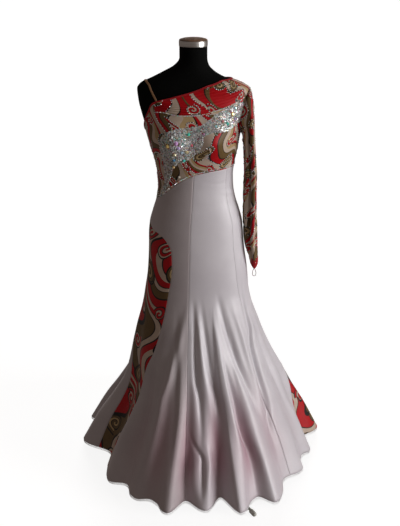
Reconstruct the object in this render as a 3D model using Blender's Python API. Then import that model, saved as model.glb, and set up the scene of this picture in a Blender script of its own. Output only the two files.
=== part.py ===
"""Ballroom dance dress on a limbless dress form that stands on a tripod.

Metres, +Z up. The front of the dress looks towards -Y, and the sleeve is on the +X side.
Every cloth piece is cut out of one surface: elliptical sections stacked up the figure, with
the skirt's flutes pushed out of them. A place on it is an azimuth in degrees (0 at the front,
+90 at the +X side) and a height, and a piece is a patch between two seams.
"""
import math

import bmesh
import bpy
import numpy as np

CLOTH = 0.0015
OVERLAY = 0.0011
OVERLAY_LIFT = 0.0008
SEAM_GAP = 0.0003
FORM_CLEARANCE_CHEST = 0.0023
FORM_CLEARANCE_HIP = 0.0040
HIP_START = 1.02
CHEST_START = 1.12

HEM_LOW = 0.020
HEM_RISE = 0.012
FOLD_GROWTH = 1.5
SKIRT_ROWS = 18
SEAM_METRES_PER_DEGREE = 0.0012

SIDE_ROWS = 5
ARMHOLE_ROWS = 6
SHOULDER_ROWS = 4
ARMHOLE_Z = 1.3215
ARMHOLE_HALF_HEIGHT = 0.0765
ARMHOLE_REACH = 27.0
ARMHOLE_METRES_PER_DEGREE = 0.0019
SHOULDER_AZIMUTH = 90.0
BODICE_COLUMNS = 20
BODICE_STEP = 9.0

BINDING_WIDTH = 0.007
YOKE_DROP = 0.0082
YOKE_PLEATS = 3
YOKE_PLEAT_RISE = 0.0024
YOKE_ROWS = 12
YOKE_FIRST_COLUMN = 5
YOKE_LAST_COLUMN = 17
YOKE_MID_Z = 1.345

STRAP_WIDTH = 0.0068
STRAP_LIFT = 0.0008
STRAP_ROWS = 14

CUFF_HEIGHT = 0.020
CUFF_POINT = 0.015
CUFF_POINT_TURN = 90.0
CUFF_OVERHANG = 0.003

LOOP_CORD = 0.002
LOOP_CENTRE = (0.2112, -0.0317, 0.7580)
LOOP_WIDTH = 0.0081
LOOP_HALF_HEIGHT = 0.0152
LOOP_OPENING = 33.0
LOOP_POINTS = 19

NECK_TOP = 1.5265
CAP_RADIUS = 0.0465
CAP_BAND_HEIGHT = 0.018
CAP_CHAMFER = 0.001
CAP_DOME_HEIGHT = 0.008
CAP_DOME_TURNS = (0.0, 25.0, 50.0, 75.0)
FORM_BOTTOM = 0.788
FORM_BOTTOM_SHARE = 0.93
FORM_COLUMNS = 40
FORM_HEIGHTS = (
    0.800, 0.860, 0.920, 0.980, 1.030, 1.075, 1.115, 1.150, 1.180, 1.205, 1.230, 1.255,
    1.280, 1.310, 1.345, 1.370, 1.390, 1.405, 1.418, 1.431, 1.446, 1.460, 1.475, 1.490,
    NECK_TOP,
)

POLE_RADIUS = 0.0125
HUB_RADIUS = 0.026
HUB_BOTTOM = 0.060
HUB_TOP = 0.118
HUB_CHAMFER = 0.002
STAND_SEGMENTS = 24
LEG_RADIUS = 0.0050
LEG_ROOT_Z = 0.090
LEG_STUB = 0.012
FOOT_RADIUS = 0.0085
FOOT_AXIS_Z = 0.0066
FOOT_LENGTH = 0.030
FOOT_COLUMNS = 16

# Height, half width on the -X and +X side, half depth at front and back, and centre y.
SECTIONS = (
    (1.530, 0.0490, 0.0490, 0.049, 0.049, 0.000),
    (1.490, 0.0490, 0.0490, 0.049, 0.050, 0.000),
    (1.470, 0.0640, 0.0535, 0.051, 0.055, 0.000),
    (1.451, 0.0980, 0.0710, 0.054, 0.058, 0.000),
    (1.431, 0.1380, 0.1060, 0.058, 0.061, 0.000),
    (1.412, 0.1770, 0.1600, 0.063, 0.067, 0.000),
    (1.393, 0.1880, 0.1840, 0.068, 0.073, 0.000),
    (1.353, 0.1840, 0.1830, 0.080, 0.084, 0.000),
    (1.314, 0.1750, 0.1740, 0.092, 0.090, 0.000),
    (1.274, 0.1640, 0.1630, 0.101, 0.091, 0.000),
    (1.234, 0.1540, 0.1540, 0.105, 0.090, 0.000),
    (1.193, 0.1420, 0.1470, 0.104, 0.087, 0.000),
    (1.152, 0.1300, 0.1390, 0.099, 0.083, 0.000),
    (1.110, 0.1235, 0.1330, 0.092, 0.079, 0.000),
    (1.068, 0.1215, 0.1345, 0.089, 0.080, 0.000),
    (1.025, 0.1270, 0.1420, 0.091, 0.088, 0.000),
    (0.982, 0.1400, 0.1560, 0.097, 0.100, 0.000),
    (0.939, 0.1515, 0.1670, 0.103, 0.110, 0.000),
    (0.895, 0.1560, 0.1710, 0.108, 0.117, 0.000),
    (0.851, 0.1570, 0.1750, 0.111, 0.121, 0.000),
    (0.760, 0.1625, 0.1880, 0.117, 0.125, 0.001),
    (0.691, 0.1730, 0.1945, 0.127, 0.131, 0.005),
    (0.621, 0.1850, 0.2100, 0.152, 0.153, 0.012),
    (0.550, 0.2015, 0.2320, 0.180, 0.180, 0.020),
    (0.477, 0.2150, 0.2540, 0.217, 0.215, 0.030),
    (0.403, 0.2255, 0.2810, 0.259, 0.259, 0.041),
    (0.328, 0.2400, 0.3130, 0.303, 0.302, 0.048),
    (0.250, 0.2750, 0.3420, 0.345, 0.345, 0.055),
    (0.150, 0.3300, 0.3850, 0.400, 0.397, 0.068),
    (0.020, 0.3850, 0.4300, 0.460, 0.458, 0.082),
)

# Bust: x of each cup's centre, its height, half width, half height and projection.
BUST = dict(x=0.072, z=1.232, half_width=0.048, half_height=0.050, reach=0.030)

# The skirt's flutes at the hem: crest azimuth and reach, then the valley after it, and the
# height at which the flute dies out.
HEM_FOLDS = (
    (-174.0, 0.030, -163.0, -0.022, 0.58),
    (-151.0, 0.040, -139.0, -0.028, 0.64),
    (-128.0, 0.034, -118.0, -0.022, 0.56),
    (-107.0, 0.056, -99.0, -0.004, 0.60),
    (-88.0, 0.050, -70.0, -0.046, 0.66),
    (-51.0, 0.012, -40.5, -0.012, 0.50),
    (-31.0, 0.010, -23.0, 0.006, 0.46),
    (-12.5, 0.036, -4.5, -0.022, 0.62),
    (5.5, 0.014, 13.5, -0.032, 0.42),
    (19.5, 0.054, 30.0, 0.018, 0.68),
    (35.5, 0.062, 49.0, 0.006, 0.56),
    (62.0, 0.024, 70.0, 0.004, 0.50),
    (78.0, 0.024, 86.0, -0.002, 0.46),
    (98.0, 0.066, 112.0, -0.022, 0.66),
    (124.0, 0.036, 136.0, -0.026, 0.58),
    (148.0, 0.042, 160.0, -0.024, 0.62),
)

# Azimuth and height of the joint between bodice and skirt, once round.
WAIST_SEAM = (
    (-180.0, 1.052), (-160.0, 1.034), (-135.0, 1.023), (-110.0, 1.018), (-90.0, 1.021),
    (-73.0, 1.029), (-55.0, 1.046), (-36.0, 1.075), (-21.0, 1.098), (-6.0, 1.115),
    (9.0, 1.127), (24.0, 1.133), (44.0, 1.136), (65.0, 1.138), (90.0, 1.138),
    (112.0, 1.130), (135.0, 1.109), (160.0, 1.076), (180.0, 1.052),
)

# Azimuth and height of the top edge of the bodice, from the -X side over the front,
# the right shoulder and the back.
NECKLINE = (
    (-90.0, 1.262), (-66.0, 1.302), (-54.0, 1.331), (-46.0, 1.354), (-24.0, 1.372),
    (-3.0, 1.390), (19.0, 1.412), (50.0, 1.424), (90.0, 1.425), (130.0, 1.421),
    (155.0, 1.405), (178.0, 1.383), (204.0, 1.366), (226.0, 1.347), (236.0, 1.324),
    (250.0, 1.295), (270.0, 1.262),
)

# Azimuth and height of the lower edge of the pleated yoke on the upper bodice.
YOKE_EDGE = ((-48.0, 1.326), (-36.0, 1.329), (-14.0, 1.320), (7.0, 1.323), (28.0, 1.338), (58.0, 1.364))

# Azimuth and height of each skirt seam, from the hem to the waist.
CENTRE_BACK = ((-180.0, 0.0), (-180.0, 1.055))
PRINT_BACK = ((-78.0, 0.0), (-78.0, 0.25), (-81.0, 0.40), (-96.0, 0.60), (-112.0, 0.85), (-117.0, 1.026))
PRINT_FRONT = (
    (-60.0, 0.0), (-56.0, 0.25), (-50.0, 0.42), (-41.0, 0.50), (-35.0, 0.60), (-31.0, 0.70),
    (-28.0, 0.80), (-29.0, 0.855), (-36.0, 0.888), (-48.0, 0.910), (-66.0, 0.922),
    (-84.0, 0.945), (-94.0, 0.985), (-99.0, 1.022),
)
CENTRE_FRONT = ((-5.0, 0.0), (-6.0, 0.36), (-6.0, 0.69), (-4.5, 0.92), (0.0, 1.117))
PRINCESS_RIGHT = ((53.0, 0.0), (53.0, 0.43), (56.0, 0.62), (51.0, 0.76), (51.5, 0.96), (54.0, 1.135))
SIDE_RIGHT = (
    (84.0, 0.0), (87.5, 0.14), (95.0, 0.26), (101.0, 0.36), (102.0, 0.50), (98.0, 0.64),
    (91.0, 0.80), (89.0, 0.95), (90.0, 1.142),
)
CENTRE_BACK_END = ((180.0, 0.0), (180.0, 1.055))

# Skirt pieces: name, seam on the side of the lower azimuth, the other seam, columns, cloth.
GORES = (
    ("skirt_back_left", CENTRE_BACK, PRINT_BACK, 21, "white_satin"),
    ("skirt_side_print", PRINT_BACK, PRINT_FRONT, 8, "printed_satin"),
    ("skirt_front_left", PRINT_FRONT, CENTRE_FRONT, 22, "white_satin"),
    ("skirt_front_centre", CENTRE_FRONT, PRINCESS_RIGHT, 18, "white_satin"),
    ("skirt_front_right", PRINCESS_RIGHT, SIDE_RIGHT, 10, "white_satin"),
    ("skirt_back_right", SIDE_RIGHT, CENTRE_BACK_END, 20, "printed_satin"),
)

# Share of the rows against share of a seam's length: closer rows where the print turns back.
ROW_SPACING = ((0.0, 0.0), (0.60, 0.74), (0.90, 0.95), (1.0, 1.0))

# The strap's centre line over the left shoulder, in azimuth and height.
STRAP_LINE = (
    (-40.5, 1.3610), (-44.0, 1.3790), (-48.5, 1.3990), (-57.5, 1.4140), (-74.0, 1.4210),
    (-90.0, 1.4225), (-104.0, 1.4195), (-117.0, 1.4050), (-127.0, 1.3790), (-133.0, 1.3490),
)

# Sleeve rings from the armhole down: x and z on the outer side, x and z on the body's side,
# half depth, and how far the ring has left the armhole's own curve.
SLEEVE = (
    (0.1930, 1.384, 0.1610, 1.2440, 0.056, 0.45),
    (0.1975, 1.356, 0.1645, 1.2380, 0.054, 0.80),
    (0.2005, 1.315, 0.1680, 1.2230, 0.050, 1.00),
    (0.2030, 1.264, 0.1700, 1.1970, 0.046, 1.00),
    (0.2065, 1.208, 0.1720, 1.1620, 0.042, 1.00),
    (0.2105, 1.152, 0.1745, 1.1250, 0.039, 1.00),
    (0.2145, 1.098, 0.1745, 1.0840, 0.037, 1.00),
    (0.2145, 1.036, 0.1735, 1.0320, 0.035, 1.00),
    (0.2165, 0.976, 0.1740, 0.9760, 0.034, 1.00),
    (0.2195, 0.920, 0.1755, 0.9200, 0.033, 1.00),
    (0.2215, 0.866, 0.1800, 0.8660, 0.031, 1.00),
    (0.2235, 0.822, 0.1905, 0.8220, 0.027, 1.00),
    (0.2240, 0.789, 0.1985, 0.7890, 0.023, 1.00),
)
SLEEVE_SHIFT_Y = -0.008

UP = np.array((0.0, 0.0, 1.0))

# Tripod legs: azimuth and reach of the foot.
LEGS = (("front", 28.0, 0.450), ("back", 150.0, 0.440), ("side", -98.0, 0.420))

# Reach and height of each leg's axis after its stub, and the height at which it meets the foot.
LEG_KNEE = ((0.240, 0.0125), (0.270, 0.0085), (0.300, 0.0072))
LEG_FLAT_Z = 0.0072

# A foot's rings: distance from the leg's end and share of the foot's radius.
FOOT_RINGS = ((0.0, 0.9), (0.002, 1.0), (0.021, 1.0), (0.0264, 0.86), (FOOT_LENGTH, 0.5))

# Finishes: colour, metallic, roughness.
FINISHES = {
    "white_satin": ((0.70, 0.68, 0.70), 0.0, 0.42),
    "printed_satin": ((0.36, 0.20, 0.13), 0.0, 0.42),
    "red_binding": ((0.42, 0.01, 0.02), 0.0, 0.50),
    "tan_strap": ((0.40, 0.25, 0.13), 0.0, 0.50),
    "black_form": ((0.012, 0.012, 0.014), 0.0, 0.75),
    "brushed_metal": ((0.62, 0.60, 0.57), 1.0, 0.35),
    "cap_wood": ((0.20, 0.11, 0.06), 0.0, 0.50),
    "grey_steel": ((0.42, 0.46, 0.43), 0.8, 0.40),
    "dark_rubber": ((0.03, 0.03, 0.03), 0.0, 0.80),
}


def clear_scene():
    for scene_object in list(bpy.data.objects):
        bpy.data.objects.remove(scene_object, do_unlink=True)


def finish(name):
    """The named material, made on first use."""
    if name in bpy.data.materials:
        return bpy.data.materials[name]
    colour, metallic, roughness = FINISHES[name]
    material = bpy.data.materials.new(name)
    material.use_nodes = True
    shader = material.node_tree.nodes["Principled BSDF"]
    shader.inputs["Base Color"].default_value = (*colour, 1.0)
    shader.inputs["Metallic"].default_value = metallic
    shader.inputs["Roughness"].default_value = roughness
    return material


def smooth_line(xs, ys, x):
    """Smooth line through the points, which never overshoots between two of them."""
    xs, ys, x = (np.asarray(values, float) for values in (xs, ys, x))
    step = np.diff(xs)
    slope = np.diff(ys) / step
    tangent = np.zeros_like(ys)
    same = slope[1:] * slope[:-1] > 0
    tangent[1:-1][same] = 2 / (1 / slope[1:][same] + 1 / slope[:-1][same])
    tangent[0], tangent[-1] = slope[0], slope[-1]
    k = np.clip(np.searchsorted(xs, x) - 1, 0, len(step) - 1)
    t = np.clip((x - xs[k]) / step[k], 0, 1)
    start, end = tangent[k] * step[k], tangent[k + 1] * step[k]
    rise = ys[k + 1] - ys[k]
    return ys[k] + t * (start + t * (3 * rise - 2 * start - end + t * (start + end - 2 * rise)))


def height_along(table, azimuth):
    """Height of a seam or an edge that is given by azimuth."""
    azimuths, heights = zip(*table)
    return smooth_line(azimuths, heights, azimuth)


def hem_fold(azimuth):
    """Reach, share of crest and top of the flute at each azimuth of the hem."""
    knots = []
    for crest, crest_reach, valley, valley_reach, top in HEM_FOLDS:
        knots += [(crest, crest_reach, 1.0, top), (valley, valley_reach, 0.0, top)]
    knots = np.array(sorted(knots))
    turn = np.array((360.0, 0, 0, 0))
    knots = np.concatenate((knots[-1:] - turn, knots, knots[:1] + turn))
    azimuth = (np.asarray(azimuth, float) - knots[0, 0]) % 360 + knots[0, 0]
    k = np.clip(np.searchsorted(knots[:, 0], azimuth) - 1, 0, len(knots) - 2)
    share = (azimuth - knots[k, 0]) / (knots[k + 1, 0] - knots[k, 0])
    share = (1 - np.cos(np.pi * share)) / 2
    return [knots[k, c] * (1 - share) + knots[k + 1, c] * share for c in (1, 2, 3)]


def hem_height(azimuth):
    return HEM_LOW + HEM_RISE * (1 - hem_fold(azimuth)[1])


def waist_height(azimuth):
    """Height of the waist seam, straight between the columns of the bodice."""
    columns = np.arange(-180.0, 181.0, BODICE_STEP)
    azimuth = (np.asarray(azimuth, float) + 180) % 360 - 180
    return np.interp(azimuth, columns, height_along(WAIST_SEAM, columns))


def neckline_height(azimuth):
    return height_along(NECKLINE, azimuth)


def surface(azimuth, z, out=0.0):
    """Point of the cloth's outer face, or of a face parallel to it, in plan."""
    azimuth, z = np.broadcast_arrays(np.asarray(azimuth, float), np.asarray(z, float))
    rows = np.array(SECTIONS[::-1])
    left, right, front, back, centre_y = (smooth_line(rows[:, 0], rows[:, c], z) for c in range(1, 6))
    sine, cosine = np.sin(np.radians(azimuth)), np.cos(np.radians(azimuth))
    half_width = np.where(sine > 0, right, left)
    half_depth = np.where(cosine > 0, front, back)
    x, y = half_width * sine, centre_y - half_depth * cosine
    for side in (-1, 1):
        across = (x - side * BUST["x"]) / BUST["half_width"]
        up = (z - BUST["z"]) / BUST["half_height"]
        y = y - BUST["reach"] * np.exp(-across**2 - up**2) * np.sqrt(np.clip(cosine, 0, 1))
    reach, _, top = hem_fold(azimuth)
    grown = np.clip((top - z) / (top - HEM_LOW), 0, 1.1) ** FOLD_GROWTH
    out_x, out_y = sine / half_width, -cosine / half_depth
    push = (reach * grown + out) / np.hypot(out_x, out_y)
    return np.stack((x + out_x * push, y + out_y * push, z), axis=-1)


def surface_normal(azimuth, z):
    """Unit normal of the cloth, pointing away from the figure."""
    azimuth, z = np.asarray(azimuth, float), np.asarray(z, float)
    along = surface(azimuth + 0.2, z) - surface(azimuth - 0.2, z)
    up = surface(azimuth, z + 0.001) - surface(azimuth, z - 0.001)
    return unit(np.cross(along, up))


def unit(vectors):
    return vectors / np.linalg.norm(vectors, axis=-1, keepdims=True)


def seam_rows(table, rows, low, high):
    """Azimuth and height of rows + 1 points along a seam, from hem to waist."""
    points = np.array(table)
    points[0, 1], points[-1, 1] = low(points[0, 0]), high(points[-1, 0])
    steps = np.hypot(np.diff(points[:, 0]) * SEAM_METRES_PER_DEGREE, np.diff(points[:, 1]))
    length = np.concatenate(((0.0,), np.cumsum(steps)))
    at = length[-1] * np.interp(np.linspace(0, 1, rows + 1), *zip(*ROW_SPACING))
    return np.stack([smooth_line(length, points[:, c], at) for c in (0, 1)], axis=-1)


def patch(left, right, low, high, columns):
    """Azimuths and heights of a grid between two seams, a lower edge and an upper edge."""
    u = np.linspace(0, 1, columns + 1)[:, None]
    t = np.linspace(0, 1, len(left))[None, :]
    azimuth = (1 - u) * left[None, :, 0] + u * right[None, :, 0]
    z = (1 - u) * left[None, :, 1] + u * right[None, :, 1]
    low_z, high_z = low(azimuth[:, :1]), high(azimuth[:, -1:])
    z = z + (1 - t) * (low_z - z[:, :1]) + t * (high_z - z[:, -1:])
    return azimuth, z


def pulled_in(points, normals, gap):
    """Points with the four edges of their grid moved inwards along the cloth."""
    moved = points.copy()
    for end, inwards in ((0, 1), (-1, -1)):
        along = np.gradient(points[end], axis=0)
        moved[end] += unit(np.cross(along, normals[end])) * inwards * gap
        along = np.gradient(points[:, end], axis=0)
        moved[:, end] += unit(np.cross(normals[:, end], along)) * inwards * gap
    return moved


def add_object(name, material, bm):
    """Object made of the bmesh, smooth but for its sharp edges."""
    bmesh.ops.recalc_face_normals(bm, faces=bm.faces[:])
    if bm.calc_volume(signed=True) < 0:
        bmesh.ops.reverse_faces(bm, faces=bm.faces[:])
    mesh = bpy.data.meshes.new(name)
    bm.to_mesh(mesh)
    bm.free()
    mesh.shade_smooth()
    mesh.set_sharp_from_angle(angle=math.radians(40))
    mesh.materials.append(finish(material))
    model = bpy.data.objects.new(name, mesh)
    bpy.context.scene.collection.objects.link(model)
    return model


def close_edge(bm, outer, inner, next_outer, next_inner):
    """Closes a stretch of a wall's edge, split the same way as its neighbour's across the seam."""
    bm.faces.new((outer, next_outer, next_inner))
    bm.faces.new((outer, next_inner, inner))


def wall(name, material, outer, inner, closed=False):
    """Cloth between two grids of points, split along the same diagonals on both faces."""
    bm = bmesh.new()
    columns, rows = outer.shape[:2]
    faces = [[[bm.verts.new(point) for point in column] for column in grid] for grid in (outer, inner)]
    for i in range(columns if closed else columns - 1):
        n = (i + 1) % columns
        for j in range(rows - 1):
            rising_length = np.linalg.norm(outer[i, j] - outer[n, j + 1])
            falling = rising_length > np.linalg.norm(outer[n, j] - outer[i, j + 1])
            for face in faces:
                a, b, c, d = face[i][j], face[n][j], face[n][j + 1], face[i][j + 1]
                for corners in ((a, b, d), (b, c, d)) if falling else ((a, b, c), (a, c, d)):
                    bm.faces.new(corners if face is faces[0] else corners[::-1])
        for j in (0, rows - 1):
            close_edge(bm, *(face[i][j] for face in faces), *(face[n][j] for face in faces))
    if not closed:
        for i in (0, columns - 1):
            for j in range(rows - 1):
                close_edge(bm, *(face[i][j] for face in faces), *(face[i][j + 1] for face in faces))
    return add_object(name, material, bm)


def cut_out(azimuth, z):
    """Outer face of a piece, with its edges pulled in by half the seam gap, and its normals."""
    normals = surface_normal(azimuth, z)
    return pulled_in(surface(azimuth, z), normals, SEAM_GAP / 2), normals


def panel(name, material, azimuth, z):
    """Piece of cloth on the surface."""
    face, normals = cut_out(azimuth, z)
    wall(name, material, face, face - normals * CLOTH)


def overlay(name, material, face, normals, raised=0.0):
    """Piece of cloth that lies on a panel, made from the panel's points moved out."""
    inner = face + normals * OVERLAY_LIFT
    wall(name, material, inner + normals * (OVERLAY + raised), inner)


def make_skirt():
    for name, left, right, columns, material in GORES:
        seams = [seam_rows(table, SKIRT_ROWS, hem_height, waist_height) for table in (left, right)]
        azimuth, z = patch(*seams, hem_height, waist_height, columns)
        panel(name, material, azimuth, z)


def armhole_side(direction):
    """Rows up the right edge of a bodice half: side seam, armhole and shoulder seam."""
    low = ARMHOLE_Z - ARMHOLE_HALF_HEIGHT
    high = ARMHOLE_Z + ARMHOLE_HALF_HEIGHT
    waist, top = waist_height(SHOULDER_AZIMUTH), neckline_height(SHOULDER_AZIMUTH)
    rows = [(SHOULDER_AZIMUTH, z) for z in np.linspace(waist, low, SIDE_ROWS + 1)]
    for turn in np.linspace(math.pi, 0, ARMHOLE_ROWS + 1)[1:]:
        azimuth = SHOULDER_AZIMUTH + direction * ARMHOLE_REACH * math.sin(turn)
        rows.append((azimuth, ARMHOLE_Z + ARMHOLE_HALF_HEIGHT * math.cos(turn)))
    rows += [(SHOULDER_AZIMUTH, z) for z in np.linspace(high, top, SHOULDER_ROWS + 1)[1:]]
    return np.array(rows)


def side_rows(azimuth):
    """Rows up the left side seam, as many as up the right edge."""
    count = SIDE_ROWS + ARMHOLE_ROWS + SHOULDER_ROWS + 1
    heights = np.linspace(waist_height(azimuth), neckline_height(azimuth), count)
    return np.stack((np.full(count, azimuth), heights), axis=-1)


def bodice_grids():
    """Azimuths and heights of the bodice's front and back."""
    front = side_rows(SHOULDER_AZIMUTH - 180), armhole_side(-1)
    back = armhole_side(1), side_rows(SHOULDER_AZIMUTH + 180)
    return [patch(*edges, waist_height, neckline_height, BODICE_COLUMNS) for edges in (front, back)]


def make_bodice():
    for name, (azimuth, z) in zip(("bodice_front", "bodice_back"), bodice_grids()):
        panel(name, "printed_satin", azimuth, z)


def make_binding():
    """Bound edge of the neckline, a front and a back length that meet on the shoulder."""
    for name, places in zip(("neck_binding_front", "neck_binding_back"), bodice_grids()):
        face, normals = cut_out(*places)
        height = np.linalg.norm(face[:, -1] - face[:, -2], axis=-1)
        share = (BINDING_WIDTH / height)[:, None]
        edges = [np.stack((grid[:, -1] * (1 - share) + grid[:, -2] * share, grid[:, -1]), axis=1)
                 for grid in (face, normals)]
        overlay(name, "red_binding", edges[0], unit(edges[1]))


def make_yoke():
    """Pleated overlay between the neckline binding and the chest, raised on its outer face."""
    azimuths, heights = bodice_grids()[0]
    face, normals = cut_out(azimuths, heights)
    columns = range(YOKE_FIRST_COLUMN, YOKE_LAST_COLUMN + 1)
    rows, across = [], []
    for i in columns:
        azimuth = np.interp(YOKE_MID_Z, heights[i], azimuths[i])
        levels = np.linspace(height_along(YOKE_EDGE, azimuth), heights[i, -1] - YOKE_DROP, YOKE_ROWS + 1)
        rows.append([[np.interp(z, heights[i], face[i, :, c]) for c in range(3)] for z in levels])
        across.append([[np.interp(z, heights[i], normals[i, :, c]) for c in range(3)] for z in levels])
    waves = np.sin(np.linspace(0, YOKE_PLEATS * math.pi, YOKE_ROWS + 1)) ** 2
    raised = np.broadcast_to(waves[None, :, None] * YOKE_PLEAT_RISE, (len(columns), YOKE_ROWS + 1, 1))
    overlay("bodice_yoke", "printed_satin", np.array(rows), unit(np.array(across)), raised)


def make_strap():
    """Narrow strap that lies on the form's shoulder, between the front and back neckline."""
    points = np.array(STRAP_LINE)
    rows = np.linspace(0, len(points) - 1, STRAP_ROWS + 1)
    azimuth, z = (smooth_line(np.arange(len(points)), points[:, c], rows) for c in (0, 1))
    normals = surface_normal(azimuth, z)
    line = surface(azimuth, z)
    across = unit(np.cross(normals, np.gradient(line, axis=0)))
    low = STRAP_LIFT - CLOTH - FORM_CLEARANCE_CHEST
    sides = np.array((-0.5, 0.0, 0.5))[:, None, None] * STRAP_WIDTH * across + line
    wall("strap", "tan_strap", sides + normals * (low + OVERLAY), sides + normals * low)


def sleeve_rings(inset):
    """Rings of the sleeve from the armhole to the wrist, inset from its outer face."""
    turns = np.radians(np.arange(0, 360, 180 / ARMHOLE_ROWS))
    cosine, sine = np.cos(turns), np.sin(turns)
    edge = SEAM_GAP * 1.5 + inset
    reach = ARMHOLE_REACH * (1 - edge / (ARMHOLE_REACH * ARMHOLE_METRES_PER_DEGREE))
    hole = surface(SHOULDER_AZIMUTH - reach * sine, ARMHOLE_Z + (ARMHOLE_HALF_HEIGHT - edge) * cosine)
    rings = [hole - (0.0004, 0.0, 0.0)]
    for outer_x, outer_z, body_x, body_z, depth, hang in SLEEVE:
        length = math.hypot(outer_x - body_x, outer_z - body_z)
        across = ((1 - 2 * inset / length) * cosine + 1) / 2
        x = body_x + (outer_x - body_x) * across
        z = body_z + (outer_z - body_z) * across
        y = SLEEVE_SHIFT_Y * hang - (depth - inset) * sine
        rings.append(hole * (1 - hang) + np.stack((x, y, z), axis=-1) * hang)
    return np.stack(rings, axis=1)


def make_sleeve():
    wall("sleeve", "printed_satin", sleeve_rings(0.0), sleeve_rings(CLOTH), closed=True)
    turns = np.radians(np.arange(0, 360, 180 / ARMHOLE_ROWS))
    point = np.clip(np.cos(turns - math.radians(CUFF_POINT_TURN)), 0, 1) ** 3
    drop = (CUFF_OVERHANG + CUFF_POINT * point)[:, None]
    faces = []
    for inset in (-SEAM_GAP - OVERLAY, -SEAM_GAP):
        rings = sleeve_rings(inset)
        wrist, above = rings[:, -1], rings[:, -2]
        share = CUFF_HEIGHT / (SLEEVE[-2][1] - SLEEVE[-1][1])
        faces.append(np.stack((wrist - UP * drop, wrist, wrist * (1 - share) + above * share), axis=1))
    wall("sleeve_cuff", "red_binding", *faces, closed=True)


def tube(name, material, points, radius, resolution=4):
    """Round bar along a line of points, with filled ends."""
    curve = bpy.data.curves.new(name, "CURVE")
    curve.dimensions = "3D"
    curve.bevel_depth = radius
    curve.bevel_resolution = resolution
    curve.use_fill_caps = True
    spline = curve.splines.new("POLY")
    spline.points.add(len(points) - 1)
    for spline_point, point in zip(spline.points, points):
        spline_point.co = (*point, 1.0)
    curve.materials.append(finish(material))
    model = bpy.data.objects.new(name, curve)
    bpy.context.scene.collection.objects.link(model)
    return model


def make_finger_loop():
    """Elastic loop that hangs as a teardrop from the cuff's point."""
    turn = np.radians(np.linspace(LOOP_OPENING, 360 - LOOP_OPENING, LOOP_POINTS))
    across = LOOP_WIDTH * np.sin(turn) * np.sin(turn / 2)
    points = np.stack((across, 0 * turn, LOOP_HALF_HEIGHT * np.cos(turn)), axis=-1)
    tube("finger_loop", "red_binding", points + LOOP_CENTRE, LOOP_CORD / 2, resolution=2)


def loft(name, material, rings):
    """Closed body through rings of equal length, with flat ends."""
    bm = bmesh.new()
    loops = [[bm.verts.new(point) for point in ring] for ring in rings]
    for lower, upper in zip(loops, loops[1:]):
        for i in range(len(lower)):
            n = (i + 1) % len(lower)
            bm.faces.new((lower[i], lower[n], upper[n], upper[i]))
    bm.faces.new(loops[0][::-1])
    bm.faces.new(loops[-1])
    return add_object(name, material, bm)


def turned(name, material, profile, segments=28):
    """Solid of revolution about the upright axis, from rows of radius and height."""
    turns = np.radians(np.arange(segments) * 360 / segments)
    circle = np.stack((np.cos(turns), np.sin(turns), 0 * turns), axis=-1)
    return loft(name, material, [circle * radius + UP * z for radius, z in profile])


def chamfered(name, material, radius, low, high, chamfer, segments=28):
    """Upright disc with both rims chamfered."""
    inner = radius - chamfer
    profile = ((inner, low), (radius, low + chamfer), (radius, high - chamfer), (inner, high))
    return turned(name, material, profile, segments)


def make_form():
    """Limbless torso just inside the cloth."""
    azimuth = np.arange(FORM_COLUMNS) * 360 / FORM_COLUMNS
    rings = []
    for z in FORM_HEIGHTS:
        near = np.clip((z - HIP_START) / (CHEST_START - HIP_START), 0, 1)
        inside = CLOTH + FORM_CLEARANCE_HIP + (FORM_CLEARANCE_CHEST - FORM_CLEARANCE_HIP) * near
        rings.append(surface(azimuth, z) - surface_normal(azimuth, z) * inside)
    rings[-1][:, 2] = NECK_TOP
    bottom = rings[0] * FORM_BOTTOM_SHARE
    bottom[:, 2] = FORM_BOTTOM
    loft("form_torso", "black_form", [bottom] + rings)


def make_cap():
    """Metal band and domed lid on the form's neck."""
    band_bottom = NECK_TOP + SEAM_GAP
    band_top = band_bottom + CAP_BAND_HEIGHT
    chamfered("form_cap_band", "brushed_metal", CAP_RADIUS, band_bottom, band_top, CAP_CHAMFER)
    lid_bottom = band_top + SEAM_GAP
    lid_radius = CAP_RADIUS - CAP_CHAMFER
    lid = [(lid_radius - CAP_CHAMFER / 2, lid_bottom)]
    for turn in np.radians(CAP_DOME_TURNS):
        height = lid_bottom + CAP_CHAMFER + CAP_DOME_HEIGHT * math.sin(turn)
        lid.append((lid_radius * math.cos(turn), height))
    turned("form_cap_top", "cap_wood", lid)


def make_stand():
    """Pole under the torso, its hub, and three low legs with rubber feet."""
    pole = ((POLE_RADIUS, HUB_TOP + SEAM_GAP), (POLE_RADIUS, FORM_BOTTOM - SEAM_GAP))
    turned("stand_pole", "grey_steel", pole, STAND_SEGMENTS)
    chamfered("stand_hub", "grey_steel", HUB_RADIUS, HUB_BOTTOM, HUB_TOP, HUB_CHAMFER, STAND_SEGMENTS)
    for name, azimuth, reach in LEGS:
        turn = math.radians(azimuth)
        away = np.array((math.sin(turn), -math.cos(turn), 0.0))
        end = reach - FOOT_LENGTH
        stub = ((HUB_RADIUS + SEAM_GAP, LEG_ROOT_Z), (HUB_RADIUS + LEG_STUB, LEG_ROOT_Z))
        route = (*stub, *LEG_KNEE, (end - SEAM_GAP, LEG_FLAT_Z))
        tube(f"stand_leg_{name}", "grey_steel", [away * r + UP * z for r, z in route], LEG_RADIUS)
        make_foot(f"stand_foot_{name}", away, end)


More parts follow.
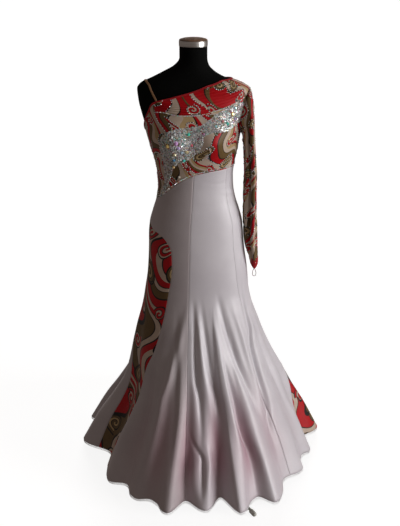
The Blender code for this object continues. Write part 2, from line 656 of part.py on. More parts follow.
def make_foot(name, away, start):
    """Rubber foot: a round bar along the leg with a rounded tip, cut flat where it stands."""
    side = np.array((-away[1], away[0], 0.0))
    turns = np.radians(np.arange(FOOT_COLUMNS) * 360 / FOOT_COLUMNS)
    rings = []
    for along, share in FOOT_RINGS:
        radius = FOOT_RADIUS * share
        height = np.clip(FOOT_AXIS_Z + radius * np.sin(turns), 0, None)
        across = side * (radius * np.cos(turns))[:, None]
        rings.append(away * (start + along) + across + UP * height[:, None])
    loft(name, "dark_rubber", rings)


def centre_on_base():
    """Moves the whole model so that its box is centred on the axis, standing on z = 0."""
    root = bpy.data.objects.new("dress_root", None)
    models = list(bpy.context.scene.objects)
    bpy.context.scene.collection.objects.link(root)
    bpy.context.view_layer.update()
    corners = []
    for model in models:
        if model.type == "MESH":
            corners += [model.matrix_world @ vertex.co for vertex in model.data.vertices]
        model.parent = root
    low, high = np.min(corners, axis=0), np.max(corners, axis=0)
    root.location = (-(low[0] + high[0]) / 2, -(low[1] + high[1]) / 2, -low[2])


def main():
    clear_scene()
    make_form()
    make_cap()
    make_stand()
    make_skirt()
    make_bodice()
    make_yoke()
    make_binding()
    make_strap()
    make_sleeve()
    make_finger_loop()
    centre_on_base()


main()
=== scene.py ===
"""Looks of a ballroom dance dress on its limbless dress form.

Every cloth piece is a thin shell on one surface, the same as under the CAD solids: elliptical
sections up the figure, with the skirt's flutes pushed out of them. A place on it is an azimuth
in degrees (0 at the front, +90 at the sleeve's side) and a height in metres.
"""
import logging
import math
from collections.abc import Iterator
from contextlib import contextmanager
from dataclasses import dataclass
from enum import Enum

import bmesh
import bpy
import numpy as np
from mathutils import Matrix, Vector

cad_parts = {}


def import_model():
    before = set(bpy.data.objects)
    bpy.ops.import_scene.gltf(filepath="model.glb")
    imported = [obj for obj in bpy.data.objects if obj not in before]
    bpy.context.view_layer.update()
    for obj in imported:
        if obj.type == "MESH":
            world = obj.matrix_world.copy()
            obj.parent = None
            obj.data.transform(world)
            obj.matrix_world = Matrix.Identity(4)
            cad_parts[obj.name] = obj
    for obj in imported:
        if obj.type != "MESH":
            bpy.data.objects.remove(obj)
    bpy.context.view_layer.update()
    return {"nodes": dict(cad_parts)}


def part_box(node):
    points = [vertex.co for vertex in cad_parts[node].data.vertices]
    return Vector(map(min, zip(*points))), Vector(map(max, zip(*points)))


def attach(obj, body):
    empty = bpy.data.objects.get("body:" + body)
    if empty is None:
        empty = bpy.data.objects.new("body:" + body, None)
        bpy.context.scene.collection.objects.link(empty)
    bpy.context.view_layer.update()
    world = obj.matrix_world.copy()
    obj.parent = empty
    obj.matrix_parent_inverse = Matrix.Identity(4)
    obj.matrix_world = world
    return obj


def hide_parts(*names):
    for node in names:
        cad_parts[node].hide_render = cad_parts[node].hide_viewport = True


Array = np.ndarray
TAU = 2 * math.pi
LOG = logging.getLogger("dress")

# The cloth's thickness, and the gap between form and cloth at the chest and at the hip, with
# the heights between which it changes.
CLOTH_WALL = 0.0009
FORM_GAP_CHEST = 0.0038
FORM_GAP_HIP = 0.0055
HIP_START = 1.02
CHEST_START = 1.12
# Heights of the form's neck end and of its flat lower end.
NECK_TOP = 1.5265
FORM_BOTTOM = 0.788
# The hem's height at a crest, how much higher it is in a valley, and how a flute grows downwards.
HEM_LOW = 0.020
HEM_RISE = 0.012
FOLD_GROWTH = 1.5
# Width of a degree along the seams and at the armhole, and the mean radius at the chest.
SEAM_METRES_PER_DEGREE = 0.0012
ARMHOLE_METRES_PER_DEGREE = 0.0019
CHEST_RADIUS = 0.125
# The armhole's middle height, half height, reach to each side in degrees, and azimuth.
ARMHOLE_Z = 1.3215
ARMHOLE_HALF_HEIGHT = 0.0765
ARMHOLE_REACH = 27.0
SHOULDER_AZIMUTH = 90.0
# How far creases are spread against their listed widths, and how sharply their ends fade.
CREASE_SPREAD = 1.25
CREASE_TAPER = 1.35
TUCK_TAPER = 0.8
# Distance under which two corners of a mesh are merged.
MERGE_DISTANCE = 1e-6

# Height, half width on the -X and +X side, half depth at front and back, and centre y.
SECTIONS = np.array((
    (1.530, 0.0490, 0.0490, 0.049, 0.049, 0.000),
    (1.490, 0.0490, 0.0490, 0.049, 0.050, 0.000),
    (1.470, 0.0640, 0.0535, 0.051, 0.055, 0.000),
    (1.451, 0.0980, 0.0710, 0.054, 0.058, 0.000),
    (1.431, 0.1380, 0.1060, 0.058, 0.061, 0.000),
    (1.412, 0.1770, 0.1600, 0.063, 0.067, 0.000),
    (1.393, 0.1880, 0.1840, 0.068, 0.073, 0.000),
    (1.353, 0.1840, 0.1830, 0.080, 0.084, 0.000),
    (1.314, 0.1750, 0.1740, 0.092, 0.090, 0.000),
    (1.274, 0.1640, 0.1630, 0.101, 0.091, 0.000),
    (1.234, 0.1540, 0.1540, 0.105, 0.090, 0.000),
    (1.193, 0.1420, 0.1470, 0.104, 0.087, 0.000),
    (1.152, 0.1300, 0.1390, 0.099, 0.083, 0.000),
    (1.110, 0.1235, 0.1330, 0.092, 0.079, 0.000),
    (1.068, 0.1215, 0.1345, 0.089, 0.080, 0.000),
    (1.025, 0.1270, 0.1420, 0.091, 0.088, 0.000),
    (0.982, 0.1400, 0.1560, 0.097, 0.100, 0.000),
    (0.939, 0.1515, 0.1670, 0.103, 0.110, 0.000),
    (0.895, 0.1560, 0.1710, 0.108, 0.117, 0.000),
    (0.851, 0.1570, 0.1750, 0.111, 0.121, 0.000),
    (0.760, 0.1625, 0.1880, 0.117, 0.125, 0.001),
    (0.691, 0.1730, 0.1945, 0.127, 0.131, 0.005),
    (0.621, 0.1850, 0.2100, 0.152, 0.153, 0.012),
    (0.550, 0.2015, 0.2320, 0.180, 0.180, 0.020),
    (0.477, 0.2150, 0.2540, 0.217, 0.215, 0.030),
    (0.403, 0.2255, 0.2810, 0.259, 0.259, 0.041),
    (0.328, 0.2400, 0.3130, 0.303, 0.302, 0.048),
    (0.250, 0.2750, 0.3420, 0.345, 0.345, 0.055),
    (0.150, 0.3300, 0.3850, 0.400, 0.397, 0.068),
    (0.020, 0.3850, 0.4300, 0.460, 0.458, 0.082),
))[::-1]

# Bust: x of each cup's centre, its height, half width, half height and projection.
BUST = dict(x=0.072, z=1.232, half_width=0.048, half_height=0.050, reach=0.030)

# Flutes at the hem: crest azimuth and reach, the valley after it, and the height of its top.
HEM_FOLDS = (
    (-174.0, 0.030, -163.0, -0.022, 0.58),
    (-151.0, 0.040, -139.0, -0.028, 0.64),
    (-128.0, 0.034, -118.0, -0.022, 0.56),
    (-107.0, 0.056, -99.0, -0.004, 0.60),
    (-88.0, 0.050, -70.0, -0.046, 0.66),
    (-51.0, 0.012, -40.5, -0.012, 0.50),
    (-31.0, 0.010, -23.0, 0.006, 0.46),
    (-12.5, 0.036, -4.5, -0.022, 0.62),
    (5.5, 0.014, 13.5, -0.032, 0.42),
    (19.5, 0.054, 30.0, 0.018, 0.68),
    (35.5, 0.062, 49.0, 0.006, 0.56),
    (62.0, 0.024, 70.0, 0.004, 0.50),
    (78.0, 0.024, 86.0, -0.002, 0.46),
    (98.0, 0.066, 112.0, -0.022, 0.66),
    (124.0, 0.036, 136.0, -0.026, 0.58),
    (148.0, 0.042, 160.0, -0.024, 0.62),
)

# Azimuth and height of the joint between bodice and skirt, once round.
WAIST_SEAM = (
    (-180.0, 1.052), (-160.0, 1.034), (-135.0, 1.023), (-110.0, 1.018), (-90.0, 1.021),
    (-73.0, 1.029), (-55.0, 1.046), (-36.0, 1.075), (-21.0, 1.098), (-6.0, 1.115),
    (9.0, 1.127), (24.0, 1.133), (44.0, 1.136), (65.0, 1.138), (90.0, 1.138),
    (112.0, 1.130), (135.0, 1.109), (160.0, 1.076), (180.0, 1.052),
)

# Azimuth and height of the bodice's top edge, from the -X side over the front, the shoulder
# and the back.
NECKLINE = (
    (-90.0, 1.262), (-66.0, 1.302), (-54.0, 1.331), (-46.0, 1.354), (-24.0, 1.372),
    (-3.0, 1.390), (19.0, 1.412), (50.0, 1.424), (90.0, 1.425), (130.0, 1.421),
    (155.0, 1.405), (178.0, 1.383), (204.0, 1.366), (226.0, 1.347), (236.0, 1.324),
    (250.0, 1.295), (270.0, 1.262),
)

# Azimuth and height of the lower edge of the pleated yoke.
YOKE_EDGE = (
    (-48.0, 1.326), (-36.0, 1.329), (-14.0, 1.320), (7.0, 1.323), (28.0, 1.338), (58.0, 1.364),
)

# Azimuth and height of each skirt seam, from the hem to the waist.
CENTRE_BACK = ((-180.0, 0.0), (-180.0, 1.055))
PRINT_BACK = (
    (-78.0, 0.0), (-78.0, 0.25), (-81.0, 0.40), (-96.0, 0.60), (-112.0, 0.85), (-117.0, 1.026),
)
PRINT_FRONT = (
    (-60.0, 0.0), (-56.0, 0.25), (-50.0, 0.42), (-41.0, 0.50), (-35.0, 0.60), (-31.0, 0.70),
    (-28.0, 0.80), (-29.0, 0.855), (-36.0, 0.888), (-48.0, 0.910), (-66.0, 0.922),
    (-84.0, 0.945), (-94.0, 0.985), (-99.0, 1.022),
)
CENTRE_FRONT = ((-5.0, 0.0), (-6.0, 0.36), (-6.0, 0.69), (-4.5, 0.92), (0.0, 1.117))
PRINCESS_RIGHT = (
    (53.0, 0.0), (53.0, 0.43), (56.0, 0.62), (51.0, 0.76), (51.5, 0.96), (54.0, 1.135),
)
SIDE_RIGHT = (
    (84.0, 0.0), (87.5, 0.14), (95.0, 0.26), (101.0, 0.36), (102.0, 0.50), (98.0, 0.64),
    (91.0, 0.80), (89.0, 0.95), (90.0, 1.142),
)
CENTRE_BACK_END = ((180.0, 0.0), (180.0, 1.055))

# Share of the rows against share of a seam's length.
ROW_SPACING = ((0.0, 0.0), (0.60, 0.74), (0.90, 0.95), (1.0, 1.0))

# The strap's centre line over the shoulder, in azimuth and height.
STRAP_LINE = (
    (-40.5, 1.3610), (-44.0, 1.3790), (-48.5, 1.3990), (-57.5, 1.4140), (-74.0, 1.4210),
    (-90.0, 1.4225), (-104.0, 1.4195), (-117.0, 1.4050), (-127.0, 1.3790), (-133.0, 1.3490),
)

# Sleeve rings: x and z on the outer side, x and z on the body's side, half depth, and how far
# the ring has left the armhole's own curve.
SLEEVE_RINGS = (
    (0.1930, 1.384, 0.1610, 1.2440, 0.056, 0.45),
    (0.1975, 1.356, 0.1645, 1.2380, 0.054, 0.80),
    (0.2005, 1.315, 0.1680, 1.2230, 0.050, 1.00),
    (0.2030, 1.264, 0.1700, 1.1970, 0.046, 1.00),
    (0.2065, 1.208, 0.1720, 1.1620, 0.042, 1.00),
    (0.2105, 1.152, 0.1745, 1.1250, 0.039, 1.00),
    (0.2145, 1.098, 0.1745, 1.0840, 0.037, 1.00),
    (0.2145, 1.036, 0.1735, 1.0320, 0.035, 1.00),
    (0.2165, 0.976, 0.1740, 0.9760, 0.034, 1.00),
    (0.2195, 0.920, 0.1755, 0.9200, 0.033, 1.00),
    (0.2215, 0.866, 0.1800, 0.8660, 0.031, 1.00),
    (0.2235, 0.822, 0.1905, 0.8220, 0.027, 1.00),
    (0.2240, 0.789, 0.1985, 0.7890, 0.023, 1.00),
)
SLEEVE_SHIFT_Y = -0.008


def smooth_line(xs: Array, ys: Array, x: Array) -> Array:
    """Smooth line through the points, which never overshoots between two of them.

    Args:
        xs: The points' places, rising.
        ys: The points' values.
        x: The places at which to read the line.

    Returns:
        The line's values at x.
    """
    xs, ys, x = (np.asarray(values, float) for values in (xs, ys, x))
    step = np.diff(xs)
    slope = np.diff(ys) / step
    tangent = np.zeros_like(ys)
    same = slope[1:] * slope[:-1] > 0
    tangent[1:-1][same] = 2 / (1 / slope[1:][same] + 1 / slope[:-1][same])
    tangent[0], tangent[-1] = slope[0], slope[-1]
    k = np.clip(np.searchsorted(xs, x) - 1, 0, len(step) - 1)
    t = np.clip((x - xs[k]) / step[k], 0, 1)
    start, end = tangent[k] * step[k], tangent[k + 1] * step[k]
    rise = ys[k + 1] - ys[k]
    return ys[k] + t * (start + t * (3 * rise - 2 * start - end + t * (start + end - 2 * rise)))


def along(table: tuple, azimuth: Array) -> Array:
    """Height of a seam or edge given by azimuth."""
    azimuths, heights = zip(*table)
    return smooth_line(azimuths, heights, azimuth)


def unit(vectors: Array) -> Array:
    """The vectors at length 1."""
    return vectors / np.linalg.norm(vectors, axis=-1, keepdims=True)


def ease(x: Array, low: float, high: float) -> Array:
    """0 below low, 1 above high, and a smooth step between them."""
    t = np.clip((np.asarray(x, float) - low) / (high - low), 0, 1)
    return t * t * (3 - 2 * t)


def hem_fold(azimuth: Array) -> list:
    """Reach, share of crest and top of the flute at each azimuth of the hem."""
    knots = []
    for crest, crest_reach, valley, valley_reach, top in HEM_FOLDS:
        knots += [(crest, crest_reach, 1.0, top), (valley, valley_reach, 0.0, top)]
    knots = np.array(sorted(knots))
    turn = np.array((360.0, 0, 0, 0))
    knots = np.concatenate((knots[-1:] - turn, knots, knots[:1] + turn))
    azimuth = (np.asarray(azimuth, float) - knots[0, 0]) % 360 + knots[0, 0]
    k = np.clip(np.searchsorted(knots[:, 0], azimuth) - 1, 0, len(knots) - 2)
    share = (azimuth - knots[k, 0]) / (knots[k + 1, 0] - knots[k, 0])
    share = (1 - np.cos(np.pi * share)) / 2
    return [knots[k, c] * (1 - share) + knots[k + 1, c] * share for c in (1, 2, 3)]


def hem_height(azimuth: Array) -> Array:
    """Height of the hem, lower at the crests."""
    return HEM_LOW + HEM_RISE * (1 - hem_fold(azimuth)[1])


def waist_height(azimuth: Array) -> Array:
    """Height of the joint between bodice and skirt."""
    return along(WAIST_SEAM, (np.asarray(azimuth, float) + 180) % 360 - 180)


def neckline_height(azimuth: Array) -> Array:
    """Height of the bodice's top edge."""
    return along(NECKLINE, azimuth)


@dataclass(frozen=True)
class Figure:
    """The dressed figure's surface, round an upright axis."""

    axis_x: float
    axis_y: float

    def halves(self, z: Array) -> list:
        """The five sizes of the section at each height."""
        return [smooth_line(SECTIONS[:, 0], SECTIONS[:, c], z) for c in range(1, 6)]

    def girth(self, z: Array) -> Array:
        """Mean radius of the section at each height."""
        left, right, front, back, _ = self.halves(z)
        return (left + right + front + back) / 4

    def surface(self, azimuth: Array, z: Array, out: float = 0.0) -> Array:
        """Points of the cloth's outer face, or of a face parallel to it in plan.

        Args:
            azimuth: Azimuths in degrees.
            z: Heights in metres.
            out: Distance outwards from the face.

        Returns:
            The points, with their coordinates on the last axis.
        """
        azimuth, z = np.broadcast_arrays(np.asarray(azimuth, float), np.asarray(z, float))
        left, right, front, back, centre_y = self.halves(z)
        sine, cosine = np.sin(np.radians(azimuth)), np.cos(np.radians(azimuth))
        half_width = np.where(sine > 0, right, left)
        half_depth = np.where(cosine > 0, front, back)
        x, y = half_width * sine, centre_y - half_depth * cosine
        for side in (-1, 1):
            across = (x - side * BUST["x"]) / BUST["half_width"]
            up = (z - BUST["z"]) / BUST["half_height"]
            swell = np.exp(-across**2 - up**2) * np.sqrt(np.clip(cosine, 0, 1))
            y = y - BUST["reach"] * swell
        reach, _, top = hem_fold(azimuth)
        grown = np.clip((top - z) / (top - HEM_LOW), 0, 1.1) ** FOLD_GROWTH
        out_x, out_y = sine / half_width, -cosine / half_depth
        push = (reach * grown + out) / np.hypot(out_x, out_y)
        x, y = x + out_x * push + self.axis_x, y + out_y * push + self.axis_y
        return np.stack((x, y, z), axis=-1)

    def normal(self, azimuth: Array, z: Array) -> Array:
        """Unit normal of the cloth, pointing away from the figure."""
        azimuth, z = np.asarray(azimuth, float), np.asarray(z, float)
        sideways = self.surface(azimuth + 0.2, z) - self.surface(azimuth - 0.2, z)
        up = self.surface(azimuth, z + 0.001) - self.surface(azimuth, z - 0.001)
        return unit(np.cross(sideways, up))

    def cloth_place(self, azimuth: Array, z: Array, base: float) -> Array:
        """Place on the flat cloth, in metres, with base as the azimuth of its upright line."""
        levels = np.linspace(0.0, 1.6, 321)
        slope = np.gradient(self.girth(levels), levels)
        slant = np.cumsum(np.sqrt(1 + slope**2)) * (levels[1] - levels[0])
        u = np.radians(azimuth - base) * self.girth(z)
        return np.stack((u, np.interp(z, levels, slant)), axis=-1)


@dataclass(frozen=True)
class Crease:
    """Ridge, or groove with a negative depth, that runs down the cloth.

    The line holds azimuth and height from the top down, and width is the crease's half width
    at its top and at its foot.
    """

    line: tuple
    width: tuple
    depth: float
    open_foot: bool = False

    def lift(self, figure: Figure, azimuth: Array, z: Array) -> Array:
        """Distance that the crease moves each place of the cloth outwards."""
        places = np.array(self.line[::-1])
        centre = smooth_line(places[:, 1], places[:, 0], z)
        top, foot = places[-1, 1], places[0, 1]
        share = np.clip((top - z) / (top - foot), 0, 1)
        half = CREASE_SPREAD * (self.width[0] + (self.width[1] - self.width[0]) * share)
        across = ((azimuth - centre + 180) % 360 - 180) * np.radians(figure.girth(z)) / half
        taper = np.sin(share * np.pi / (2 if self.open_foot else 1)) ** CREASE_TAPER
        return self.depth * taper * np.exp(-across**2)


@dataclass(frozen=True)
class Tuck:
    """Crease that runs round the cloth: azimuth and height along it, half width and depth."""

    line: tuple
    width: float
    depth: float

    def lift(self, figure: Figure, azimuth: Array, z: Array) -> Array:
        """Distance that the tuck moves each place of the cloth outwards."""
        places = np.array(self.line)
        centre = smooth_line(places[:, 0], places[:, 1], azimuth)
        share = np.clip((azimuth - places[0, 0]) / (places[-1, 0] - places[0, 0]), 0, 1)
        taper = np.sin(share * np.pi) ** TUCK_TAPER
        return self.depth * taper * np.exp(-((z - centre) / self.width) ** 2)


def creased(figure: Figure, azimuth: Array, z: Array, creases: tuple) -> Array:
    """Points of the cloth's face with its creases."""
    lift = sum(crease.lift(figure, azimuth, z) for crease in creases)
    return figure.surface(azimuth, z) + figure.normal(azimuth, z) * lift[..., None]


# Creases of the skirt, read from the front and placed likewise round the back.
SKIRT_CREASES = (
    Crease(((-5.0, 0.690), (-13.0, 0.570), (-17.0, 0.504), (-21.5, 0.426), (-27.5, 0.333),
            (-28.0, 0.150), (-27.0, 0.060)), (0.009, 0.021), 0.0135),
    Crease(((3.0, 0.680), (5.5, 0.540), (7.0, 0.460), (9.0, 0.380), (11.0, 0.273)),
           (0.005, 0.010), 0.0070),
    Crease(((17.0, 0.680), (20.5, 0.537), (21.5, 0.471), (22.0, 0.399), (23.0, 0.315),
            (24.5, 0.234), (23.0, 0.040)), (0.006, 0.014), 0.0085),
    Crease(((41.0, 0.690), (46.5, 0.549), (47.5, 0.465), (48.0, 0.396), (47.0, 0.315),
            (45.0, 0.200)), (0.007, 0.014), 0.0080),
    Crease(((-1.0, 0.700), (1.0, 0.555), (1.0, 0.492), (1.5, 0.426), (4.0, 0.366), (4.5, 0.273),
            (3.0, 0.180)), (0.005, 0.009), -0.0110),
    Crease(((7.0, 0.700), (10.5, 0.555), (12.0, 0.489), (14.0, 0.423), (16.5, 0.360), (18.0, 0.273),
            (17.0, 0.120)), (0.005, 0.012), -0.0100),
    Crease(((25.0, 0.715), (31.0, 0.579), (34.0, 0.516), (36.5, 0.459), (39.0, 0.405),
            (41.0, 0.320), (42.0, 0.240)), (0.007, 0.013), -0.0150),
    Crease(((22.0, 0.520), (26.3, 0.400), (27.6, 0.350), (28.5, 0.250), (31.0, 0.150),
            (31.5, 0.040)), (0.004, 0.015), -0.0170),
    Crease(((60.0, 0.745), (61.5, 0.567), (56.5, 0.501), (55.5, 0.438), (54.0, 0.369),
            (53.0, 0.300), (49.0, 0.210), (48.0, 0.100)), (0.006, 0.013), -0.0165),
    Crease(((-19.0, 0.660), (-15.5, 0.426), (-14.5, 0.243), (-13.0, 0.080)),
           (0.006, 0.018), -0.0065),
    Crease(((-32.0, 0.600), (-42.0, 0.342), (-41.0, 0.150), (-40.0, 0.050)),
           (0.006, 0.020), -0.0070),
    Crease(((70.0, 0.620), (74.0, 0.400), (75.0, 0.200), (74.0, 0.060)), (0.007, 0.018), -0.0090),
    Crease(((80.0, 0.600), (82.0, 0.420), (84.0, 0.220), (83.0, 0.060)), (0.008, 0.020), 0.0060),
    Crease(((100.0, 0.680), (104.0, 0.520), (106.0, 0.300), (104.0, 0.080)),
           (0.008, 0.020), 0.0070),
    Crease(((118.0, 0.600), (114.0, 0.430), (117.0, 0.200), (118.0, 0.070)),
           (0.007, 0.018), -0.0065),
    Crease(((128.0, 0.640), (133.0, 0.480), (130.0, 0.260), (128.0, 0.060)),
           (0.008, 0.024), 0.0060),
    Crease(((146.0, 0.620), (141.0, 0.420), (142.0, 0.200), (143.0, 0.060)),
           (0.007, 0.018), -0.0070),
    Crease(((160.0, 0.660), (157.0, 0.500), (154.0, 0.300), (155.0, 0.080)),
           (0.008, 0.020), 0.0070),
    Crease(((176.0, 0.590), (172.0, 0.420), (170.0, 0.220), (171.0, 0.060)),
           (0.007, 0.020), -0.0060),
    Crease(((-170.0, 0.650), (-167.0, 0.480), (-170.0, 0.250), (-171.0, 0.060)),
           (0.008, 0.022), 0.0065),
    Crease(((-156.0, 0.600), (-158.0, 0.400), (-156.0, 0.200), (-155.0, 0.060)),
           (0.007, 0.018), -0.0065),
    Crease(((-142.0, 0.640), (-145.0, 0.460), (-147.0, 0.240), (-146.0, 0.060)),
           (0.008, 0.022), 0.0075),
    Crease(((-126.0, 0.580), (-131.0, 0.420), (-132.0, 0.200), (-133.0, 0.060)),
           (0.007, 0.018), -0.0055),
    Crease(((-112.0, 0.640), (-114.0, 0.450), (-112.0, 0.240), (-113.0, 0.060)),
           (0.008, 0.020), 0.0065),
    Crease(((-96.0, 0.620), (-92.0, 0.420), (-94.0, 0.220), (-95.0, 0.060)),
           (0.007, 0.018), -0.0060),
    # The crumple at the foot of the centre seam.
    Crease(((-4.0, 0.270), (0.0, 0.225), (4.5, 0.180), (4.0, 0.100), (3.4, 0.040)),
           (0.005, 0.007), -0.0110),
    Crease(((-1.5, 0.215), (0.5, 0.160), (0.0, 0.090), (0.5, 0.040)), (0.008, 0.014), 0.0075),
    Crease(((6.5, 0.240), (8.0, 0.170), (7.0, 0.100), (7.0, 0.030)), (0.006, 0.009), 0.0065),
    # Ripples in the last hand's breadth above the hem.
    Crease(((-36.0, 0.130), (-35.0, 0.020)), (0.010, 0.016), 0.0060, True),
    Crease(((-18.0, 0.140), (-18.5, 0.020)), (0.009, 0.014), -0.0060, True),
    Crease(((26.0, 0.150), (25.5, 0.020)), (0.009, 0.015), -0.0055, True),
    Crease(((44.0, 0.120), (43.0, 0.020)), (0.010, 0.016), 0.0050, True),
    Crease(((66.0, 0.130), (66.5, 0.020)), (0.009, 0.016), -0.0055, True),
    Crease(((92.0, 0.140), (91.5, 0.020)), (0.009, 0.015), 0.0050, True),
    Crease(((-61.0, 0.130), (-62.0, 0.020)), (0.009, 0.016), 0.0050, True),
)

# Soft drags of the stretched cloth between waist and hip.
BODY_CREASES = (
    Tuck(((-70.0, 1.035), (-45.0, 1.052), (-20.0, 1.080)), 0.007, -0.0010),
    Tuck(((10.0, 1.100), (40.0, 1.088), (72.0, 1.094)), 0.006, -0.0008),
    Tuck(((38.0, 1.058), (62.0, 1.050), (92.0, 1.064)), 0.006, 0.0009),
    Tuck(((-100.0, 1.085), (-72.0, 1.068), (-44.0, 1.092)), 0.006, -0.0011),
    Tuck(((-96.0, 1.115), (-70.0, 1.104), (-50.0, 1.122)), 0.006, 0.0009),
    Tuck(((52.0, 1.168), (74.0, 1.152), (100.0, 1.166)), 0.006, -0.0010),
    Tuck(((44.0, 1.262), (60.0, 1.276), (74.0, 1.296)), 0.006, -0.0012),
    Tuck(((46.0, 1.236), (64.0, 1.248), (86.0, 1.262)), 0.005, 0.0009),
    Tuck(((120.0, 1.180), (150.0, 1.160), (182.0, 1.172)), 0.007, -0.0010),
    Tuck(((188.0, 1.140), (214.0, 1.122), (244.0, 1.136)), 0.007, -0.0011),
    Tuck(((104.0, 1.268), (124.0, 1.282), (150.0, 1.300)), 0.006, -0.0010),
)


class Ink(Enum):
    """Inks of the print, as places on its colour ramp."""

    RED = 0.1
    CREAM = 0.3
    KHAKI = 0.5
    TAN = 0.7
    OUTLINE = 0.9


# Distance from an ink's place to the edges of its stretch of the ramp.
INK_HALF_STEP = 0.1
INK_COLOURS = {
    Ink.RED: (0.400, 0.000, 0.004),
    Ink.CREAM: (0.470, 0.375, 0.300),
    Ink.KHAKI: (0.120, 0.074, 0.026),
    Ink.TAN: (0.380, 0.265, 0.130),
    Ink.OUTLINE: (0.012, 0.009, 0.008),
}

# Upper limit of each stretch of the print's bands and curls, and its ink.
BODY_BANDS = (
    (0.22, Ink.CREAM), (0.255, Ink.OUTLINE), (0.40, Ink.RED), (0.435, Ink.OUTLINE),
    (0.60, Ink.KHAKI), (0.62, Ink.OUTLINE), (0.76, Ink.CREAM), (0.90, Ink.TAN),
    (0.93, Ink.OUTLINE), (1.01, Ink.RED),
)
YOKE_BANDS = (
    (0.42, Ink.RED), (0.45, Ink.OUTLINE), (0.60, Ink.CREAM), (0.62, Ink.OUTLINE),
    (0.88, Ink.RED), (0.91, Ink.OUTLINE), (1.01, Ink.KHAKI),
)
SKIRT_BANDS = (
    (0.14, Ink.CREAM), (0.17, Ink.OUTLINE), (0.44, Ink.RED), (0.49, Ink.OUTLINE),
    (0.70, Ink.KHAKI), (0.72, Ink.OUTLINE), (0.82, Ink.CREAM), (0.85, Ink.OUTLINE),
    (1.01, Ink.RED),
)
CURL_WARM = ((0.16, Ink.OUTLINE), (0.60, Ink.RED), (1.01, Ink.CREAM))
CURL_EARTH = ((0.17, Ink.OUTLINE), (0.56, Ink.TAN), (0.66, Ink.OUTLINE), (1.01, Ink.KHAKI))
# Distance between two curls of the print, on the bodice and sleeve and on the skirt.
BODY_CELL = 0.066
SKIRT_CELL = 0.130


class Signal:
    """A value in a material's node tree; arithmetic on it adds Math nodes."""

    def __init__(self, tree: bpy.types.NodeTree, socket: bpy.types.NodeSocket) -> None:
        """Wraps an output socket of the tree."""
        self.tree = tree
        self.socket = socket

    def math(self, operation: str, *values: object) -> "Signal":
        """Signal of a Math node over the values, which are numbers or signals."""
        node = self.tree.nodes.new("ShaderNodeMath")
        node.operation = operation
        for place, value in zip(node.inputs, values):
            if isinstance(value, Signal):
                self.tree.links.new(value.socket, place)
            else:
                place.default_value = float(value)
        return Signal(self.tree, node.outputs[0])

    def __add__(self, other: object) -> "Signal":
        """Sum."""
        return self.math("ADD", self, other)

    def __radd__(self, other: object) -> "Signal":
        """Sum."""
        return self.math("ADD", other, self)

    def __sub__(self, other: object) -> "Signal":
        """Difference."""
        return self.math("SUBTRACT", self, other)

    def __rsub__(self, other: object) -> "Signal":
        """Difference."""
        return self.math("SUBTRACT", other, self)

    def __mul__(self, other: object) -> "Signal":
        """Product."""
        return self.math("MULTIPLY", self, other)

    def __rmul__(self, other: object) -> "Signal":
        """Product."""
        return self.math("MULTIPLY", other, self)

    def __truediv__(self, other: object) -> "Signal":
        """Quotient."""
        return self.math("DIVIDE", self, other)


def sine(x: object) -> object:
    """Sine of a signal or of an array."""
    return x.math("SINE", x) if isinstance(x, Signal) else np.sin(x)


def floor(x: object) -> object:
    """Whole part of a signal or of an array."""
    return x.math("FLOOR", x) if isinstance(x, Signal) else np.floor(x)


def root(x: object) -> object:
    """Square root of a signal or of an array."""
    return x.math("SQRT", x) if isinstance(x, Signal) else np.sqrt(x)


def size_of(x: object) -> object:
    """Absolute value of a signal or of an array."""
    return x.math("ABSOLUTE", x) if isinstance(x, Signal) else np.abs(x)


def bearing(y: object, x: object) -> object:
    """Angle of the direction (x, y), as signals or arrays."""
    return x.math("ARCTAN2", y, x) if isinstance(x, Signal) else np.arctan2(y, x)


def below(x: object, limit: object) -> object:
    """1 where x is below the limit, and 0 elsewhere."""
    if isinstance(x, Signal):
        return x.math("LESS_THAN", x, limit)
    return (x < limit) * 1.0


def fraction(x: object) -> object:
    """Part of x over its whole part."""
    return x - floor(x)


def pick(mask: object, chosen: object, other: object) -> object:
    """Chosen where the mask is 1, and other where it is 0."""
    return other + mask * (chosen - other)


def steps(x: object, table: tuple) -> object:
    """Ink of the stretch of the table in which x lies."""
    ink = table[-1][1].value + 0 * x
    for limit, colour in reversed(table[:-1]):
        ink = pick(below(x, limit), colour.value, ink)
    return ink


